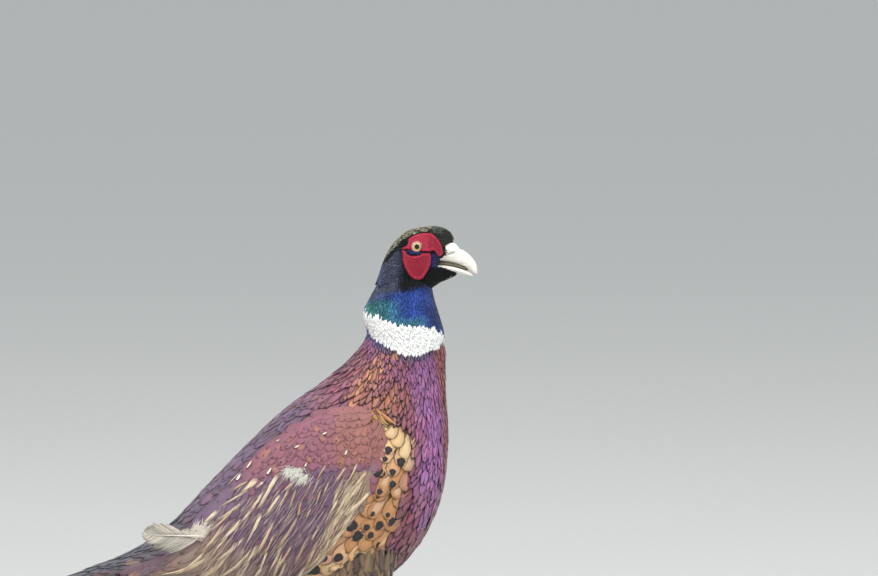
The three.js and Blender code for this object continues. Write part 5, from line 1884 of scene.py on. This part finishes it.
class PHEASANT_OT_legs(bpy.types.Operator):
    """Make the scaled legs and toes, the claws and the spurs"""

    bl_idname = "pheasant.legs"
    bl_label = "Legs"

    def execute(self, context):
        c = colours()
        material, tree, shader = principled("scaled leg", 0.5, Coat_Weight=0.08)
        colour = mixed(tree, speckled(tree, 260.0, 4.0), rgba(c["leg"] * 0.62), rgba(c["leg"] * 1.15))
        join(tree, mixed(tree, layer_of(tree, "seam"), colour, rgba(c["leg"] * 0.3)), shader["Base Color"])
        join(tree, bump(tree, noisy(tree, 1400.0, 3.0), 0.0002), shader["Normal"])
        horn, tree, shader = principled("dark horn", 0.35, Coat_Weight=0.1)
        colour = mixed(tree, speckled(tree, 500.0, 3.0), rgba(c["horn"] * 0.7), rgba(c["horn"] * 1.6))
        join(tree, colour, shader["Base Color"])
        join(tree, bump(tree, noisy(tree, 900.0, 3.0), 0.0002), shader["Normal"])
        for side in STANCE:
            self.leg(side, material, horn)
        return {"FINISHED"}

    def leg(self, side, material, horn):
        """One shank with its toes, claws and spur, round the middle of the foot."""
        sign, stride = STANCE[side]
        x, y, z = stride + 8, sign * STANCE_HALF, FOOT_HEIGHT
        lean = math.asin(ANKLE_BACK / TARSUS_LENGTH)
        ankle = (x - math.sin(lean) * TARSUS_LENGTH, y, z + math.cos(lean) * TARSUS_LENGTH)
        shank = [ankle, (x - 11, y, z + 38), (x - 4.5, y, z + 14), (x, y, z - 4)]
        parts = [tube(shank, ACROSS, shank_radius, 30, 150, 1.2, scutes(SHANK_SCUTES, SCUTE_RISE[0]))]
        counts = [SHANK_SCUTES]
        claws = []
        for _, turn, length, pads in TOES:
            angle = math.radians(turn) * sign
            ahead = np.array([math.cos(angle), math.sin(angle), 0])
            across = (-ahead[1], ahead[0], 0)

            def line(*stops, ahead=ahead):
                return [(x + ahead[0] * d, y + ahead[1] * d, height) for d, height in stops]

            def thick(s, pads=pads):
                swell = (1 + 0.1 * np.cos(2 * np.pi * pads * s)) * TOE_RADIUS * (1.08 - 0.36 * s)
                return swell, swell * 1.04

            toe = line((-2, TOE_RADIUS + 1.6), (length * 0.3, TOE_RADIUS + 0.8),
                       (length * 0.7, TOE_RADIUS - 0.4), (length, TOE_RADIUS - 1))
            claw = line((length - 2.4, 3.1), (length + 3, 4.1), (length + 7, 3), (length + 10.5, 0.7))
            counts.append(max(5, int(length / TOE_SCUTE)))
            parts.append(tube(toe, across, thick, 22, 70, 0.0, scutes(counts[-1], SCUTE_RISE[1])))
            claws.append(tube(claw, across, claw_radius, 14, 22, 0.05))
        seam = np.concatenate([0.7 * (1 - smoothstep(0.0, 0.3, (home[:, 1] * count) % 1.0))
                               for (_, _, home), count in zip(parts, counts)])
        points, faces, home = gather(parts)
        piece(f"leg_scales_{side}", points, faces, material, layers={"seam": seam},
              maps={"OFBake": home}, keep=(f"tarsus_{side}", f"foot_{side}"))
        points, faces, home = gather(claws)
        piece(f"claws_{side}", points, faces, horn, maps={"OFBake": home},
              keep=[f"claw_{name}_{side}" for name, *_ in TOES])
        spur = [(x - back, y - sign * aside, z + rise) for back, aside, rise in SPUR]
        points, faces, home = tube(spur, ACROSS, spur_radius, 18, 24)
        piece(f"spur_horn_{side}", points, faces, horn, maps={"OFBake": home}, keep=(f"spur_{side}",))


# The loose feather: both ends of its shaft, how far its edges curve away, and its barbs' slope, number
# on each side and half width.
LOOSE_ROOT = np.array([-89.4, -52.5, 207.8])
LOOSE_TIP = np.array([-136.5, -55.0, 209.6])
LOOSE_CURVE = -3.0
BARB_SLOPE = math.radians(42)
BARBS_A_SIDE = 96
BARB_HALF = 0.62
DOWN_BARBS = 110
# How far the barbs reach above and below the shaft, at shares of its length from the root.
LOOSE_UPPER = (
    (0, 0.1, 0.21, 0.32, 0.385, 0.45, 0.53, 0.64, 0.8, 0.92, 1),
    (2, 5, 5.8, 5, 3.6, 6, 8, 9.2, 9.2, 6.4, 1),
)
LOOSE_LOWER = (
    (0, 0.1, 0.21, 0.34, 0.5, 0.61, 0.72, 0.85, 0.94, 1),
    (4, 11, 15.5, 17.5, 16.5, 13.6, 11.4, 8.6, 5.4, 1),
)


def loose_surface(a, b, lift):
    """The plane of the loose feather. a is minus the share of its shaft, and b the distance up from it."""
    along, across, out = LOOSE_TIP - LOOSE_ROOT, np.array([0.0, 0.0, 1.0]), np.array([0.0, 1.0, 0.0])
    curve = LOOSE_CURVE * (b / 12.5) ** 2
    return LOOSE_ROOT - along * a[..., None] + across * b[..., None] - out * (lift + curve)[..., None]


class PHEASANT_OT_loose_feather(bpy.types.Operator):
    """Make the one pale feather that stands out of place at the end of the right wing"""

    bl_idname = "pheasant.loose_feather"
    bl_label = "Loose feather"

    def execute(self, context):
        c = colours()
        rng = np.random.default_rng(sizes().seed + 6)
        material = vane_material("pale loose feather", 0.75, barbs=3, barb_depth=0.15, shaft=0.25)
        self.vane(c, rng, material)
        self.down(c, rng, material)
        horn, tree, shader = principled("pale shaft", 0.4, Coat_Weight=0.1)
        tone = mixed(tree, noisy(tree, 300.0), (0.6, 0.55, 0.45, 1), (0.85, 0.82, 0.74, 1))
        join(tree, tone, shader["Base Color"])
        line = [loose_surface(np.array(-u), np.array(0.0), np.array(0.5)) for u in (-0.06, 0.3, 0.65, 0.99)]
        points, faces, home = tube(line, (0, 0, 1), self.shaft_radius, 10, 24)
        piece("loose_feather_shaft", points, faces, horn, maps={"OFBake": home})
        return {"FINISHED"}

    def shaft_radius(self, s):
        return 0.75 * (1 - s) + 0.2, 0.7 * (1 - s) + 0.2

    def vane(self, c, rng, material):
        """Single barbs on both sides of the shaft. Each one's length is found where it meets the outline."""
        length = float(np.linalg.norm(LOOSE_TIP - LOOSE_ROOT))
        starts, turns, lengths = [], [], []
        for way, (shares, reach) in ((-1, LOOSE_UPPER), (1, LOOSE_LOWER)):
            u = np.linspace(0.0, 0.985, BARBS_A_SIDE)
            out = np.interp(u, shares, reach)
            for _ in range(30):
                end = u + out / math.tan(BARB_SLOPE * 0.8) / length
                out = 0.8 * out + 0.2 * np.interp(end, shares, reach, right=0.4)
            starts.append(-u)
            turns.append(np.full(BARBS_A_SIDE, way * BARB_SLOPE))
            lengths.append(out / math.sin(BARB_SLOPE * 0.8) * rng.uniform(0.95, 1.02, BARBS_A_SIDE))
        a, turn, reach = (np.concatenate(column) for column in (starts, turns, lengths))
        n = len(a)
        barbs = Plumes(loose_surface, a, 0 * a, reach, np.full(n, BARB_HALF), rng, camber=0.12, stray=0.0,
                       twist=0.1)
        barbs.turn = turn * rng.normal(1, 0.03, n)
        barbs.curl = -0.3 * np.sign(turn)
        barbs.base = np.full(n, 0.15)
        barbs.tip = barbs.tip * 0.5
        worn = smoothstep(0.4, 0.7, mottle(barbs.seen(), 6.0))
        tone = vary(blend(c["loose"], c["loose"] * 0.72, worn), rng, 0.06, 0.02)
        feathers("loose_feather_vane", barbs, marks(tone, tone * 0.75, 0.1, tone * 1.1, 0.3), material,
                 grid=(8, 2), fullest=0.45, blunt=0.25, ragged=0.05, bake=TAIL_BAKE,
                 keep=("loose_feather",))

    def down(self, c, rng, material):
        """Loose down at the root of the feather."""
        n = DOWN_BARBS
        downy = Plumes(loose_surface, rng.uniform(-0.2, 0.02, n), rng.normal(0.6, 2.0, n),
                       rng.uniform(5, 15, n), rng.uniform(0.2, 0.4, n), rng, base=0.3, tip=1.0, camber=0.2,
                       stray=0.0, curl=0.5)
        downy.turn = math.pi + rng.normal(0.6, 0.38, n)
        pale = vary(np.clip(c["loose"] * 1.35, 0, 1), rng, 0.06, 0.02, n)
        feathers("loose_feather_down", downy, marks(pale), material, grid=(8, 2), fullest=0.4,
                 blunt=0.6, ragged=0.0, bake=TAIL_BAKE)


# Stage

# Sizes here are in metres, except in AIM, the place in the drawing that the camera looks at.
FLOOR_REACH = 40.0
BIRD_MIDDLE = 0.3
# Each light's name, its place from the bird's middle, its width, and its power in watts.
LIGHTS = (
    ("key", (-0.9, -2.6, 3.0), 2.4, 98),
    ("fill", (2.6, -2.0, 1.6), 2.6, 26),
    ("top", (0.0, 0.6, 3.4), 3.0, 50),
)
AIM = (103, 400.4)
CAMERA_AZIMUTH = math.radians(-4)
CAMERA_HEIGHT = math.radians(4)


class PHEASANT_OT_stage(bpy.types.Operator):
    """Set up the pale floor, the soft light and the camera"""

    bl_idname = "pheasant.stage"
    bl_label = "Stage"

    def execute(self, context):
        c = colours()
        scene = context.scene
        scene.view_settings.view_transform = "Standard"
        mesh = bpy.data.meshes.new("floor")
        corners = [(x * FLOOR_REACH, y * FLOOR_REACH, 0) for x, y in ((-1, -1), (1, -1), (1, 1), (-1, 1))]
        mesh.from_pydata(corners, [], [(0, 1, 2, 3)])
        floor = bpy.data.objects.new("floor", mesh)
        scene.collection.objects.link(floor)
        material, _, shader = principled("studio floor", 0.9)
        shader["Base Color"].default_value = rgba(c["floor"])
        mesh.materials.append(material)
        world = bpy.data.worlds.new("studio")
        scene.world = world
        world.use_nodes = True
        sky = world.node_tree.nodes["Background"].inputs
        sky["Color"].default_value = (0.93, 0.96, 1.0, 1)
        sky["Strength"].default_value = 0.75
        middle = Vector((SHIFT[0] * MM, 0, BIRD_MIDDLE))
        for name, place, size, power in LIGHTS:
            light = bpy.data.lights.new(name, "AREA")
            light.size = size
            light.energy = power
            lamp = bpy.data.objects.new(name, light)
            lamp.location = middle + Vector(place)
            lamp.rotation_euler = (middle - lamp.location).to_track_quat("-Z", "Y").to_euler()
            scene.collection.objects.link(lamp)
        camera = bpy.data.cameras.new("camera")
        camera.lens = sizes().lens
        camera.sensor_width = 36
        camera.clip_end = 200
        holder = bpy.data.objects.new("camera", camera)
        level = math.cos(CAMERA_HEIGHT)
        back = Vector((math.sin(CAMERA_AZIMUTH) * level, -math.cos(CAMERA_AZIMUTH) * level,
                       math.sin(CAMERA_HEIGHT)))
        aim = Vector(((AIM[0] + SHIFT[0]) * MM, 0, AIM[1] * MM))
        holder.location = aim + back * sizes().camera_distance
        holder.rotation_euler = (-back).to_track_quat("-Z", "Y").to_euler()
        scene.collection.objects.link(holder)
        scene.camera = holder
        return {"FINISHED"}


OPERATORS = (
    PHEASANT_OT_skin,
    PHEASANT_OT_neck,
    PHEASANT_OT_breast,
    PHEASANT_OT_back,
    PHEASANT_OT_flank,
    PHEASANT_OT_wings,
    PHEASANT_OT_tail,
    PHEASANT_OT_head,
    PHEASANT_OT_face,
    PHEASANT_OT_bill,
    PHEASANT_OT_legs,
    PHEASANT_OT_loose_feather,
    PHEASANT_OT_stage,
)


class PHEASANT_PT_panel(bpy.types.Panel):
    """The pheasant's parts and settings in the sidebar"""

    bl_idname = "PHEASANT_PT_panel"
    bl_label = "Cock Pheasant"
    bl_space_type = "VIEW_3D"
    bl_region_type = "UI"
    bl_category = "Pheasant"

    def draw(self, context):
        for operator in OPERATORS:
            self.layout.operator(operator.bl_idname)
        for group in (context.scene.pheasant_sizes, context.scene.pheasant_colours):
            box = self.layout.box()
            for key in type(group).__annotations__:
                box.prop(group, key)


CLASSES = (PheasantColours, PheasantSizes, *OPERATORS, PHEASANT_PT_panel)


def register():
    for cls in CLASSES:
        bpy.utils.register_class(cls)
    bpy.types.Scene.pheasant_colours = bpy.props.PointerProperty(type=PheasantColours)
    bpy.types.Scene.pheasant_sizes = bpy.props.PointerProperty(type=PheasantSizes)


def unregister():
    del bpy.types.Scene.pheasant_sizes
    del bpy.types.Scene.pheasant_colours
    for cls in reversed(CLASSES):
        bpy.utils.unregister_class(cls)


def main():
    register()
    for operator in OPERATORS:
        name = operator.bl_idname.split(".")[1]
        getattr(bpy.ops.pheasant, name)()


if __name__ == "__main__":
    main()
